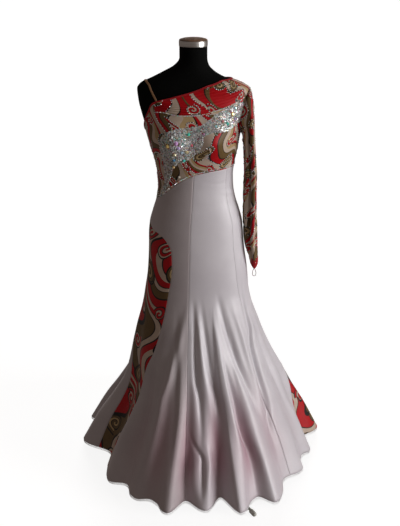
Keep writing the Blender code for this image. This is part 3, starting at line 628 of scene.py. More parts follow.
def swirl_print(u: object, v: object, cell: float, bands: tuple = BODY_BANDS) -> tuple:
    """Generic swirl print: wavy bands with a curl in each cell of a warped lattice.

    Args:
        u: Place across the cloth in metres, as an array or a signal.
        v: Place up the cloth in metres.
        cell: Distance between two curls.
        bands: Inks of the bands between the curls.

    Returns:
        The ink, the distance from the nearest curl's outline and that from a band's edge, the
        last two as shares of a cell.
    """
    x, y = u / cell, v / cell
    wide = 0.24 * sine(2.1 * y + 0.6) + 0.09 * sine(4.3 * y + 1.9 * x + 2.0)
    high = 0.26 * sine(1.8 * x + 1.1) + 0.09 * sine(4.9 * x - 1.3 * y + 0.5)
    x, y = x + wide, y + high
    band = fraction(0.62 * x + 0.34 * y + 0.30 * sine(2.0 * y + 0.8 * sine(1.7 * x)))
    ink = steps(band, bands)
    row = floor(y)
    shifted = x + 0.37 * row
    column = floor(shifted)
    chance = sine(5.3 * column + 2.7 * row)
    across = shifted - column - 0.5 - 0.12 * sine(2.3 * column + 4.1 * row)
    up = y - row - 0.5 - 0.12 * sine(3.7 * column - 1.9 * row + 1.0)
    radius = root(across * across + up * up)
    turn = fraction(bearing(up, across) / TAU + 0.43 * chance)
    reach = (0.34 + 0.07 * chance) * (0.52 + 0.48 * turn)
    coil = fraction(radius / 0.17 - turn)
    curl = pick(below(chance, 0.1), steps(coil, CURL_WARM), steps(coil, CURL_EARTH))
    ink = pick(below(radius, reach), curl, ink)
    rim = radius - reach
    ink = pick(below(size_of(rim), 0.020), Ink.OUTLINE.value, ink)
    return ink, rim, band - bands[0][0]


class Finish:
    """Material of one finish, with its nodes."""

    def __init__(self, name: str, roughness: float, metallic: float = 0.0, **plain: float) -> None:
        """Makes the material; plain holds other sockets of the shader by name."""
        self.material = bpy.data.materials.new(name)
        self.material.use_nodes = True
        self.tree = self.material.node_tree
        self.shader = self.tree.nodes["Principled BSDF"]
        self.shader.inputs["Roughness"].default_value = roughness
        self.shader.inputs["Metallic"].default_value = metallic
        for socket, value in plain.items():
            self.shader.inputs[socket.replace("_", " ")].default_value = value

    def add(self, kind: str, inputs: dict, **settings: object) -> bpy.types.Node:
        """Adds a node, with its settings and its inputs by name, as values or sockets."""
        node = self.tree.nodes.new(kind)
        for name, value in settings.items():
            setattr(node, name, value)
        for name, value in inputs.items():
            if isinstance(value, bpy.types.NodeSocket):
                self.tree.links.new(value, node.inputs[name])
            else:
                node.inputs[name].default_value = value
        return node

    def place(self, on_cloth: bool = True, scale: tuple = (1.0, 1.0, 1.0)) -> bpy.types.NodeSocket:
        """Coordinates scaled from metres, on the flat cloth or in space."""
        if on_cloth:
            source = self.add("ShaderNodeUVMap", {}, uv_map="Cloth").outputs["UV"]
        else:
            source = self.add("ShaderNodeTexCoord", {}).outputs["Object"]
        return self.add("ShaderNodeMapping", {"Vector": source, "Scale": scale}).outputs[0]

    def noise(self, scale: float, detail: float, on_cloth: bool = True,
              stretch: tuple = (1.0, 1.0, 1.0), distortion: float = 0.0) -> bpy.types.NodeSocket:
        """Noise with that many waves to the metre."""
        inputs = {"Vector": self.place(on_cloth, stretch), "Scale": scale, "Detail": detail,
                  "Distortion": distortion}
        return self.add("ShaderNodeTexNoise", inputs).outputs["Fac"]

    def ramp(self, factor: bpy.types.NodeSocket, stops: tuple,
             step: bool = False) -> bpy.types.NodeSocket:
        """Colour ramp over the factor, from places and colours."""
        node = self.add("ShaderNodeValToRGB", {"Fac": factor})
        node.color_ramp.interpolation = "CONSTANT" if step else "LINEAR"
        for k, (place, colour) in enumerate(stops):
            elements = node.color_ramp.elements
            stop = elements[k] if k < 2 else elements.new(place)
            stop.position = place
            stop.color = (*colour, 1.0)
        return node.outputs["Color"]

    def mix(self, factor: object, first: object, second: object,
            blend: str = "MIX") -> bpy.types.NodeSocket:
        """Colour mixed of two colours."""
        node = self.add("ShaderNodeMix", {}, data_type="RGBA", blend_type=blend)
        places = node.inputs[0], node.inputs[6], node.inputs[7]
        for place, value in zip(places, (factor, first, second)):
            if isinstance(value, bpy.types.NodeSocket):
                self.tree.links.new(value, place)
            else:
                place.default_value = (*value, 1.0) if isinstance(value, tuple) else value
        return node.outputs[2]

    def colour(self, socket: object) -> None:
        """Sets the base colour, from a socket or a colour."""
        base = self.shader.inputs["Base Color"]
        if isinstance(socket, tuple):
            base.default_value = (*socket, 1.0)
        else:
            self.tree.links.new(socket, base)

    def attribute(self, name: str) -> bpy.types.NodeSocket:
        """Strength of a piece's own attribute."""
        return self.add("ShaderNodeAttribute", {}, attribute_name=name).outputs["Fac"]

    def wave(self, per_metre: float, across: bool) -> Signal:
        """Ribs on the flat cloth, so many to the metre, that run across it or up it."""
        where = self.add("ShaderNodeSeparateXYZ", {"Vector": self.place()})
        signal = Signal(self.tree, where.outputs["Y" if across else "X"])
        return sine(signal * (per_metre * TAU))

    def bump(self, height: object, distance: float, strength: float = 1.0) -> None:
        """Adds relief under what the shader's normal already has."""
        socket = height.socket if isinstance(height, Signal) else height
        before = self.shader.inputs["Normal"].links
        inputs = {"Height": socket, "Distance": distance, "Strength": strength}
        if before:
            inputs["Normal"] = before[0].from_socket
        node = self.add("ShaderNodeBump", inputs)
        self.tree.links.new(node.outputs["Normal"], self.shader.inputs["Normal"])

    def weave(self, per_metre: float, depth: float) -> None:
        """Relief of a fine knit: two sets of ribs that cross."""
        ribs = self.wave(per_metre, True) * self.wave(per_metre * 1.3, False)
        self.bump(ribs, depth, 0.6)

    def roughness(self, factor: bpy.types.NodeSocket, low: float, high: float) -> None:
        """Roughness that varies between two values."""
        node = self.add("ShaderNodeMapRange", {"Value": factor, "To Min": low, "To Max": high})
        self.tree.links.new(node.outputs["Result"], self.shader.inputs["Roughness"])


def white_satin(name: str, share: tuple) -> bpy.types.Material:
    """White stretch satin, with painted rosy shade deep in the front flutes.

    Args:
        name: The material's name.
        share: Brightness of each channel against the lightest gore; below 1 it is painted
            shade for the gores on the shaded side.

    Returns:
        The material.
    """
    finish = Finish(name, 0.42, Sheen_Weight=0.08, Sheen_Roughness=0.40, Specular_IOR_Level=0.50)
    cloud = finish.noise(7.0, 3.0)
    tones = (0.520, 0.495, 0.530), (0.575, 0.552, 0.585)
    low, high = (tuple(k * c for k, c in zip(share, tone)) for tone in tones)
    base = finish.ramp(cloud, ((0.35, low), (0.65, high)))
    # Painted shade: the colour darkens towards a rosy brown where the 'depth' mark says a place
    # lies deep in a front flute.
    finish.colour(finish.mix(finish.attribute("depth"), base, (0.345, 0.170, 0.215)))
    finish.roughness(finish.noise(40.0, 2.0), 0.36, 0.48)
    finish.weave(1500.0, 0.00006)
    finish.bump(finish.noise(55.0, 3.0), 0.0006, 0.25)
    return finish.material


def printed_satin(name: str, cell: float, bands: tuple) -> bpy.types.Material:
    """Stretch satin with the swirl print, its curls a cell apart and its bands in their inks."""
    finish = Finish(name, 0.50, Sheen_Weight=0.02, Sheen_Roughness=0.35, Specular_IOR_Level=0.22)
    where = finish.add("ShaderNodeSeparateXYZ", {"Vector": finish.place()})
    u, v = (Signal(finish.tree, where.outputs[axis]) for axis in ("X", "Y"))
    ink, _, _ = swirl_print(u, v, cell, bands)
    stops = tuple((colour.value - INK_HALF_STEP, INK_COLOURS[colour]) for colour in Ink)
    base = finish.ramp(ink.socket, stops, step=True)
    greys = (0.3, (0.86, 0.86, 0.86)), (0.7, (1.0, 1.0, 1.0))
    shade = finish.ramp(finish.noise(60.0, 3.0), greys)
    finish.colour(finish.mix(1.0, base, shade, "MULTIPLY"))
    finish.roughness(finish.noise(35.0, 2.0), 0.42, 0.56)
    finish.weave(1500.0, 0.00006)
    finish.bump(finish.noise(55.0, 3.0), 0.0006, 0.2)
    return finish.material


def ribbed_cloth(name: str, low: tuple, high: tuple, ribs: float) -> bpy.types.Material:
    """Matt narrow trim with fine ribs, between two shades."""
    finish = Finish(name, 0.55, Sheen_Weight=0.03, Sheen_Roughness=0.4, Specular_IOR_Level=0.25)
    finish.colour(finish.ramp(finish.noise(90.0, 3.0), ((0.3, low), (0.7, high))))
    finish.bump(finish.wave(ribs, False), 0.00020, 0.8)
    finish.bump(finish.noise(600.0, 2.0), 0.0002, 0.3)
    return finish.material


def black_jersey() -> bpy.types.Material:
    """Black knit cover of the form, with a little lint."""
    finish = Finish("black_jersey", 0.85, Specular_IOR_Level=0.05)
    blacks = (0.55, (0.0020, 0.0022, 0.0020)), (0.85, (0.008, 0.009, 0.008))
    finish.colour(finish.ramp(finish.noise(420.0, 4.0), blacks))
    finish.weave(900.0, 0.00012)
    finish.bump(finish.noise(30.0, 2.0), 0.0010, 0.15)
    return finish.material


def brushed_steel() -> bpy.types.Material:
    """Brushed metal of the cap's band, with fine lines round it."""
    finish = Finish("brushed_steel", 0.34, metallic=1.0)
    lines = finish.noise(1.0, 4.0, on_cloth=False, stretch=(2.0, 2.0, 900.0))
    finish.colour(finish.ramp(lines, ((0.3, (0.42, 0.41, 0.39)), (0.7, (0.66, 0.64, 0.61)))))
    finish.roughness(lines, 0.24, 0.46)
    finish.bump(lines, 0.0001, 0.5)
    return finish.material


def turned_wood() -> bpy.types.Material:
    """Brown lacquered wood of the cap's lid."""
    finish = Finish("turned_wood", 0.42, Coat_Weight=0.3, Coat_Roughness=0.25)
    grain = finish.noise(2.0, 6.0, on_cloth=False, stretch=(60.0, 9.0, 60.0), distortion=1.2)
    browns = (0.30, (0.055, 0.026, 0.013)), (0.70, (0.210, 0.115, 0.062))
    finish.colour(finish.ramp(grain, browns))
    finish.bump(grain, 0.0003, 0.4)
    return finish.material


def painted_steel() -> bpy.types.Material:
    """Grey-green paint of the stand, worn in small flecks."""
    finish = Finish("painted_steel", 0.42, metallic=0.35)
    fleck = finish.noise(160.0, 6.0, on_cloth=False)
    greens = ((0.30, (0.420, 0.445, 0.400)), (0.66, (0.560, 0.590, 0.540)),
              (0.78, (0.680, 0.690, 0.660)))
    finish.colour(finish.ramp(fleck, greens))
    finish.roughness(fleck, 0.34, 0.56)
    finish.bump(fleck, 0.0003, 0.3)
    return finish.material


def grey_rubber() -> bpy.types.Material:
    """Grey rubber of the stand's feet, dusty in places."""
    finish = Finish("grey_rubber", 0.72)
    dust = finish.noise(220.0, 5.0, on_cloth=False)
    finish.colour(finish.ramp(dust, ((0.40, (0.420, 0.425, 0.395)), (0.75, (0.600, 0.600, 0.560)))))
    finish.bump(dust, 0.0003, 0.4)
    return finish.material


def foiled_crystal() -> bpy.types.Material:
    """Foil-backed glass, tinted stone by stone, with painted glints that differ facet by facet."""
    finish = Finish("foiled_crystal", 0.22, metallic=0.25, Coat_Weight=0.3, Coat_Roughness=0.10)
    finish.colour(finish.add("ShaderNodeAttribute", {}, attribute_name="tint").outputs["Color"])
    return finish.material


def crin_nylon() -> bpy.types.Material:
    """Pale nylon thread of the hem's open mesh."""
    finish = Finish("crin_nylon", 0.40)
    shade = finish.noise(300.0, 2.0, on_cloth=False)
    finish.colour(finish.ramp(shade, ((0.3, (0.86, 0.86, 0.88)), (0.7, (0.96, 0.96, 0.97)))))
    return finish.material


def studio_floor() -> bpy.types.Material:
    """Pale floor, hardly mottled."""
    finish = Finish("studio_floor", 0.9, Specular_IOR_Level=0.1, Emission_Strength=0.88)
    mottle = finish.noise(1.5, 2.0, on_cloth=False)
    finish.colour(finish.ramp(mottle, ((0.3, (0.240, 0.240, 0.240)), (0.7, (0.255, 0.255, 0.255)))))
    return finish.material


def studio_wall() -> bpy.types.Material:
    """White backdrop that is evenly lit."""
    finish = Finish("studio_wall", 1.0, Specular_IOR_Level=0.0, Emission_Strength=0.95)
    finish.colour((0.02, 0.02, 0.02))
    return finish.material


@contextmanager
def editing(mesh: bpy.types.Mesh) -> Iterator[bmesh.types.BMesh]:
    """Opens a mesh to bmesh operators, and writes what they make back to it."""
    bm = bmesh.new()
    bm.from_mesh(mesh)
    yield bm
    bm.to_mesh(mesh)
    bm.free()


def cloth_object(name: str, points: Array, places: Array, material: bpy.types.Material,
                 wall: float = CLOTH_WALL, closed: bool = False,
                 marks: dict | None = None) -> bpy.types.Object:
    """Sheet of cloth: a grid moved to its points, with a wall inwards from them.

    Args:
        name: The piece's name.
        points: Its outer face, columns by rows by coordinates.
        places: The same points on the flat cloth, in metres.
        material: Its finish.
        wall: The cloth's thickness, or 0 for none.
        closed: Whether its last column is its first.
        marks: Attributes by name, columns by rows.

    Returns:
        The piece.
    """
    columns, rows = points.shape[0] - 1, points.shape[1] - 1
    mesh = bpy.data.meshes.new(name)
    with editing(mesh) as bm:
        bmesh.ops.create_grid(bm, x_segments=columns, y_segments=rows, size=1.0)
    flat = np.empty(len(mesh.vertices) * 3, np.float32)
    mesh.vertices.foreach_get("co", flat)
    flat = flat.reshape(-1, 3)
    i = np.rint((flat[:, 0] + 1) / 2 * columns).astype(int)
    j = np.rint((flat[:, 1] + 1) / 2 * rows).astype(int)
    mesh.vertices.foreach_set("co", points[i, j].astype(np.float32).ravel())
    corners = np.empty(len(mesh.loops), np.int32)
    mesh.loops.foreach_get("vertex_index", corners)
    layer = mesh.uv_layers[0] if mesh.uv_layers else mesh.uv_layers.new(name="Cloth")
    layer.name = "Cloth"
    layer.uv.foreach_set("vector", places[i, j][corners].astype(np.float32).ravel())
    for mark, values in (marks or {}).items():
        attribute = mesh.attributes.new(mark, "FLOAT", "POINT")
        attribute.data.foreach_set("value", values[i, j].astype(np.float32))
    if closed:
        with editing(mesh) as bm:
            bmesh.ops.remove_doubles(bm, verts=bm.verts[:], dist=MERGE_DISTANCE)
    return finished(name, mesh, material, wall)


def finished(name: str, mesh: bpy.types.Mesh, material: bpy.types.Material,
             wall: float = 0.0) -> bpy.types.Object:
    """Smooth object of the mesh, with a wall if one is given."""
    mesh.shade_smooth()
    mesh.materials.append(material)
    piece = bpy.data.objects.new(name, mesh)
    bpy.context.scene.collection.objects.link(piece)
    if wall:
        solid = piece.modifiers.new("wall", "SOLIDIFY")
        solid.thickness = wall
        solid.offset = -1.0
    LOG.info("%s: %d faces", name, len(mesh.polygons))
    return piece


def hand_over(piece: bpy.types.Object, slot: str, *nodes: str) -> None:
    """Rides the piece on the frame, in place of the nodes."""
    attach(piece, "root")
    for node in nodes:
        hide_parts(node)


def seam_rows(table: tuple, rows: int) -> Array:
    """Azimuth and height of rows + 1 points along a seam, from hem to waist."""
    points = np.array(table)
    points[0, 1], points[-1, 1] = hem_height(points[0, 0]), waist_height(points[-1, 0])
    lengths = np.hypot(np.diff(points[:, 0]) * SEAM_METRES_PER_DEGREE, np.diff(points[:, 1]))
    length = np.concatenate(((0.0,), np.cumsum(lengths)))
    at = length[-1] * np.interp(np.linspace(0, 1, rows + 1), *zip(*ROW_SPACING))
    return np.stack([smooth_line(length, points[:, c], at) for c in (0, 1)], axis=-1)


def patch(left: Array, right: Array, low: object, high: object, columns: int) -> tuple:
    """Azimuths and heights of a grid between two seams, a lower edge and an upper edge."""
    u = np.linspace(0, 1, columns + 1)[:, None]
    t = np.linspace(0, 1, len(left))[None, :]
    azimuth = (1 - u) * left[None, :, 0] + u * right[None, :, 0]
    z = (1 - u) * left[None, :, 1] + u * right[None, :, 1]
    low_z, high_z = low(azimuth[:, :1]), high(azimuth[:, -1:])
    return azimuth, z + (1 - t) * (low_z - z[:, :1]) + t * (high_z - z[:, -1:])


def edge_distance(points: Array) -> Array:
    """Distance of each grid point from the nearer of its row's two ends."""
    steps_across = np.linalg.norm(np.diff(points, axis=0), axis=-1)
    start = np.concatenate((np.zeros((1, points.shape[1])), np.cumsum(steps_across, axis=0)))
    return np.minimum(start, start[-1:] - start)


class Cloth(Enum):
    """Cloths of the skirt: the satin, the satin darkened by painted shade, and the print."""

    STRAIGHT = "straight"
    PAINTED_SHADE = "turned"
    PRINTED = "printed"


@dataclass(frozen=True)
class Gore:
    """One gore of the skirt: its piece and node, its seams, its columns, the azimuth of its
    cloth's upright line, its cloth, and what it is sewn to.
    """

    name: str
    node: str
    left: tuple
    right: tuple
    columns: int
    base: float
    cloth: Cloth
    sewn_to: tuple


FRONT, BACK, COVER = "bodice_front_cloth", "bodice_back_cloth", "form_cover"
GORES = (
    Gore("gore_back_left", "skirt_back_left", CENTRE_BACK, PRINT_BACK,
         112, -135.0, Cloth.PAINTED_SHADE, (BACK,)),
    Gore("gore_side_print", "skirt_side_print", PRINT_BACK, PRINT_FRONT,
         56, -74.0, Cloth.PRINTED, (FRONT, BACK)),
    Gore("gore_front_left", "skirt_front_left", PRINT_FRONT, CENTRE_FRONT,
         112, -25.0, Cloth.PAINTED_SHADE, (FRONT,)),
    Gore("gore_front_centre", "skirt_front_centre", CENTRE_FRONT, PRINCESS_RIGHT,
         112, 25.0, Cloth.STRAIGHT, (FRONT,)),
    Gore("gore_front_right", "skirt_front_right", PRINCESS_RIGHT, SIDE_RIGHT,
         60, 72.0, Cloth.STRAIGHT, (FRONT,)),
    Gore("gore_back_right", "skirt_back_right", SIDE_RIGHT, CENTRE_BACK_END,
         104, 132.0, Cloth.PRINTED, (BACK,)),
)


@dataclass(frozen=True)
class Skirt:
    """The six gores of the skirt and the open mesh that stiffens its hem."""

    figure: Figure
    rows: int = 160
    seam_dip: float = 0.0006
    seam_half: float = 0.0030
    crin_columns: int = 1100
    crin_rows: int = 2
    crin_low: float = -0.0085
    crin_high: float = 0.0030
    crin_gap: float = 0.0008
    crin_bottom: float = 0.008
    crin_thread: float = 0.0009

    def face(self, azimuth: Array, z: Array) -> Array:
        """Points of the skirt's face with its creases."""
        return creased(self.figure, azimuth, z, SKIRT_CREASES + BODY_CREASES)

    def build(self, cloths: dict) -> None:
        """Builds every gore in its own cloth."""
        for gore in GORES:
            seams = [seam_rows(table, self.rows) for table in (gore.left, gore.right)]
            azimuth, z = patch(*seams, hem_height, waist_height, gore.columns)
            flat = self.figure.surface(azimuth, z)
            points = self.face(azimuth, z)
            dip = self.seam_dip * np.exp(-((edge_distance(flat) / self.seam_half) ** 2))
            points = points - self.figure.normal(azimuth, z) * dip[..., None]
            places = self.figure.cloth_place(azimuth, z, gore.base)
            # The 'depth' mark steers the satin's painted rosy shade in the flutes.
            marks = {"depth": self.depth(azimuth, z)}
            piece = cloth_object(gore.name, points, places, cloths[gore.cloth], marks=marks)
            slot = "printed_satin" if gore.cloth is Cloth.PRINTED else "white_satin"
            hand_over(piece, slot, gore.node)

    def depth(self, azimuth: Array, z: Array) -> Array:
        """Painted rosy shade by how deep in a front flute each place lies, 0 to 0.92, low on the
        skirt.
        """
        valley = 1 - hem_fold(azimuth)[1]
        low = (0.35 + 0.65 * ease(z, 0.04, 0.18)) * (1 - ease(z, 0.20, 0.48))
        middle = np.exp(-(((azimuth - 10) / 42) ** 2))
        return 0.92 * low * middle * (0.25 + 0.75 * valley)

    def build_crin(self, material: bpy.types.Material) -> None:
        """Builds the diamond mesh of nylon that peeks out under the hem."""
        azimuth = np.linspace(-180, 180, self.crin_columns + 1)[:, None]
        t = np.linspace(0, 1, self.crin_rows + 1)[None, :]
        z = hem_height(azimuth) + self.crin_low + (self.crin_high - self.crin_low) * t
        azimuth, z = np.broadcast_arrays(azimuth, z)
        inwards = self.figure.normal(azimuth, z) * (CLOTH_WALL + self.crin_gap)
        points = self.face(azimuth, np.maximum(z, self.crin_bottom)) - inwards
        places = self.figure.cloth_place(azimuth, z, 0.0)
        piece = cloth_object("hem_crin", points, places, material, wall=0.0, closed=True)
        with editing(piece.data) as bm:
            straight = [edge for edge in bm.edges if not edge.is_boundary]
            bmesh.ops.poke(bm, faces=bm.faces[:])
            bmesh.ops.dissolve_edges(bm, edges=straight, use_verts=False)
        threads = piece.modifiers.new("threads", "WIREFRAME")
        threads.thickness = self.crin_thread
        threads.use_even_offset = False
        hand_over(piece, "crin_mesh")


@dataclass(frozen=True)
class Bodice:
    """Printed bodice, its pleated yoke, the bound neckline and the strap."""

    figure: Figure
    columns: int = 124
    side_rows: int = 44
    armhole_rows: int = 56
    shoulder_rows: int = 30
    yoke_pleats: float = 7.5
    yoke_height: float = 0.0042
    binding_width: float = 0.0075
    binding_rise: float = 0.0013
    binding_wall: float = 0.0007
    probe: float = 0.002
    strap_width: float = 0.0070
    strap_wall: float = 0.0007
    overlay_gap: float = 0.0014
    yoke_columns: int = 176
    yoke_rows: int = 88
    yoke_base: float = 8.0

    def armhole_side(self, direction: int) -> Array:
        """Rows up the right edge of a bodice half: side seam, armhole and shoulder seam."""
        low, high = ARMHOLE_Z - ARMHOLE_HALF_HEIGHT, ARMHOLE_Z + ARMHOLE_HALF_HEIGHT
        waist, top = waist_height(SHOULDER_AZIMUTH), neckline_height(SHOULDER_AZIMUTH)
        rows = [(SHOULDER_AZIMUTH, z) for z in np.linspace(waist, low, self.side_rows + 1)]
        for turn in np.linspace(math.pi, 0, self.armhole_rows + 1)[1:]:
            azimuth = SHOULDER_AZIMUTH + direction * ARMHOLE_REACH * math.sin(turn)
            rows.append((azimuth, ARMHOLE_Z + ARMHOLE_HALF_HEIGHT * math.cos(turn)))
        rows += [(SHOULDER_AZIMUTH, z) for z in np.linspace(high, top, self.shoulder_rows + 1)[1:]]
        return np.array(rows)

    def far_side(self, azimuth: float) -> Array:
        """Rows up the left side seam."""
        count = self.side_rows + self.armhole_rows + self.shoulder_rows + 1
        heights = np.linspace(waist_height(azimuth), neckline_height(azimuth), count)
        return np.stack((np.full(count, azimuth), heights), axis=-1)

    def half(self, front: bool) -> tuple:
        """Azimuths and heights of the front or the back."""
        if front:
            edges = self.far_side(SHOULDER_AZIMUTH - 180), self.armhole_side(-1)
        else:
            edges = self.armhole_side(1), self.far_side(SHOULDER_AZIMUTH + 180)
        return patch(*edges, waist_height, neckline_height, self.columns)

    def face(self, azimuth: Array, z: Array) -> Array:
        """Points of the bodice's face with its drags."""
        return creased(self.figure, azimuth, z, BODY_CREASES)

    def build(self, printed: bpy.types.Material) -> None:
        """Builds the front and the back."""
        for name, node, front, base in ((FRONT, "bodice_front", True, 0.0),
                                        (BACK, "bodice_back", False, 180.0)):
            azimuth, z = self.half(front)
            places = self.figure.cloth_place(azimuth, z, base)
            piece = cloth_object(name, self.face(azimuth, z), places, printed)
            hand_over(piece, "printed_satin", node)
            self.figure.surface(azimuth, z)

    def yoke_face(self, columns: int, rows: int, pleated: bool = True) -> tuple:
        """Azimuths, heights and points of the yoke."""
        azimuth = np.linspace(-45.5, 62.5, columns + 1)[:, None]
        t = np.linspace(0, 1, rows + 1)[None, :]
        low, high = along(YOKE_EDGE, azimuth), neckline_height(azimuth) - 0.0035
        azimuth, z = np.broadcast_arrays(azimuth, low + (high - low) * t)
        run = np.radians(azimuth)
        phase = self.yoke_pleats * t + 0.55 * np.sin(2.1 * run + 0.4)
        phase = phase + 0.16 * np.sin(9 * run + 5 * t)
        fade = ease(t, 0.0, 0.08) * (1 - ease(t, 0.92, 1.0))
        fade = fade * ease(azimuth, -46, -34) * (1 - ease(azimuth, 50, 63))
        deep = 0.62 + 0.38 * np.sin(4.3 * run + 6.0 * t + 1.0)
        pleats = self.yoke_height * deep * np.abs(np.sin(np.pi * phase)) ** 0.75 * fade
        lift = self.overlay_gap + pleats * pleated
        points = self.figure.surface(azimuth, z) + self.figure.normal(azimuth, z) * lift[..., None]
        return azimuth, z, points

    def build_yoke(self, printed: bpy.types.Material) -> None:
        """Builds the yoke, gathered in pleats that follow the neckline."""
        azimuth, z, points = self.yoke_face(self.yoke_columns, self.yoke_rows)
        flat = self.yoke_face(self.yoke_columns, self.yoke_rows, pleated=False)[2]
        places = self.figure.cloth_place(azimuth, z, self.yoke_base)
        piece = cloth_object("yoke_cloth", points, places, printed)
        hand_over(piece, "printed_satin", "bodice_yoke")

    def build_binding(self, red: bpy.types.Material) -> None:
        """Builds the rolled edge of the neckline, front and back."""
        for name, node, start, end in (("neck_edge_front", "neck_binding_front", -90.0, 90.0),
                                       ("neck_edge_back", "neck_binding_back", 90.0, 270.0)):
            azimuth = np.linspace(start, end, 221)[:, None]
            t = np.linspace(0, 1, 11)[None, :]
            top = neckline_height(azimuth)
            below_top = top - self.probe
            step = self.figure.surface(azimuth, top) - self.figure.surface(azimuth, below_top)
            drop = self.binding_width * self.probe / np.linalg.norm(step, axis=-1)
            azimuth, z = np.broadcast_arrays(azimuth, top - drop * (1 - t) + 0.0004)
            lift = 0.0012 + self.binding_rise * np.sin(np.pi * t) ** 0.6 * np.ones_like(z)
            lift = np.where(t > 0.999, -0.0008, lift)
            points = self.figure.surface(azimuth, z)
            points = points + self.figure.normal(azimuth, z) * lift[..., None]
            places = self.figure.cloth_place(azimuth, z, start)
            piece = cloth_object(name, points, places, red, wall=self.binding_wall)
            hand_over(piece, "red_binding", node)

    def build_strap(self, tan: bpy.types.Material) -> None:
        """Builds the strap on the bare shoulder, a strip folded to a narrow tube."""
        line = np.array(((-39.6, 1.3550), *STRAP_LINE, (-134.0, 1.3450)))
        at = np.linspace(0, len(line) - 1, 121)
        azimuth, z = (smooth_line(np.arange(len(line)), line[:, c], at) for c in (0, 1))
        normals = self.figure.normal(azimuth, z)
        centre = self.figure.surface(azimuth, z)
        across = unit(np.cross(normals, np.gradient(centre, axis=0)))
        turn = np.linspace(-math.pi / 2, 1.5 * math.pi, 17)[:, None, None]
        aside = across * np.cos(turn) * self.strap_width / 2
        rise = self.overlay_gap - FORM_GAP_CHEST + self.strap_wall * np.sin(turn)
        points = centre + aside + normals * rise
        lengths = np.linalg.norm(np.diff(centre, axis=0), axis=-1)
        length = np.concatenate(((0.0,), np.cumsum(lengths)))
        around = turn[:, 0] * self.strap_width / math.pi
        places = np.stack(np.broadcast_arrays(around, length[None, :]), axis=-1)
        piece = cloth_object("shoulder_strap", points, places, tan, wall=0.0)
        hand_over(piece, "tan_strap", "strap")


# Folds down the sleeve: turn in degrees at the top and at the wrist, first and last share of
# the sleeve's length, half width in degrees and depth.
SLEEVE_FOLDS = (
    (62.0, 84.0, 0.10, 0.98, 16.0, 0.0070),
    (100.0, 112.0, 0.16, 0.96, 12.0, -0.0078),
    (140.0, 134.0, 0.08, 0.98, 15.0, 0.0064),
    (30.0, 44.0, 0.22, 0.90, 13.0, -0.0058),
    (168.0, 172.0, 0.12, 0.90, 12.0, -0.0052),
    (212.0, 200.0, 0.10, 0.96, 15.0, 0.0066),
    (248.0, 252.0, 0.18, 0.94, 14.0, -0.0070),
    (288.0, 276.0, 0.10, 0.97, 15.0, 0.0060),
    (326.0, 322.0, 0.20, 0.92, 13.0, -0.0055),
)
# Drags across it: share of its length on the body's side and on the outer side, half width in
# share of its length, and depth.
SLEEVE_DRAGS = (
    (0.20, 0.15, 0.010, -0.0030), (0.27, 0.19, 0.009, 0.0028), (0.33, 0.24, 0.010, -0.0026),
    (0.50, 0.56, 0.008, -0.0022), (0.57, 0.53, 0.009, 0.0024), (0.64, 0.70, 0.008, -0.0024),
    (0.78, 0.74, 0.007, -0.0026), (0.85, 0.88, 0.006, 0.0024), (0.90, 0.86, 0.006, -0.0026),
)


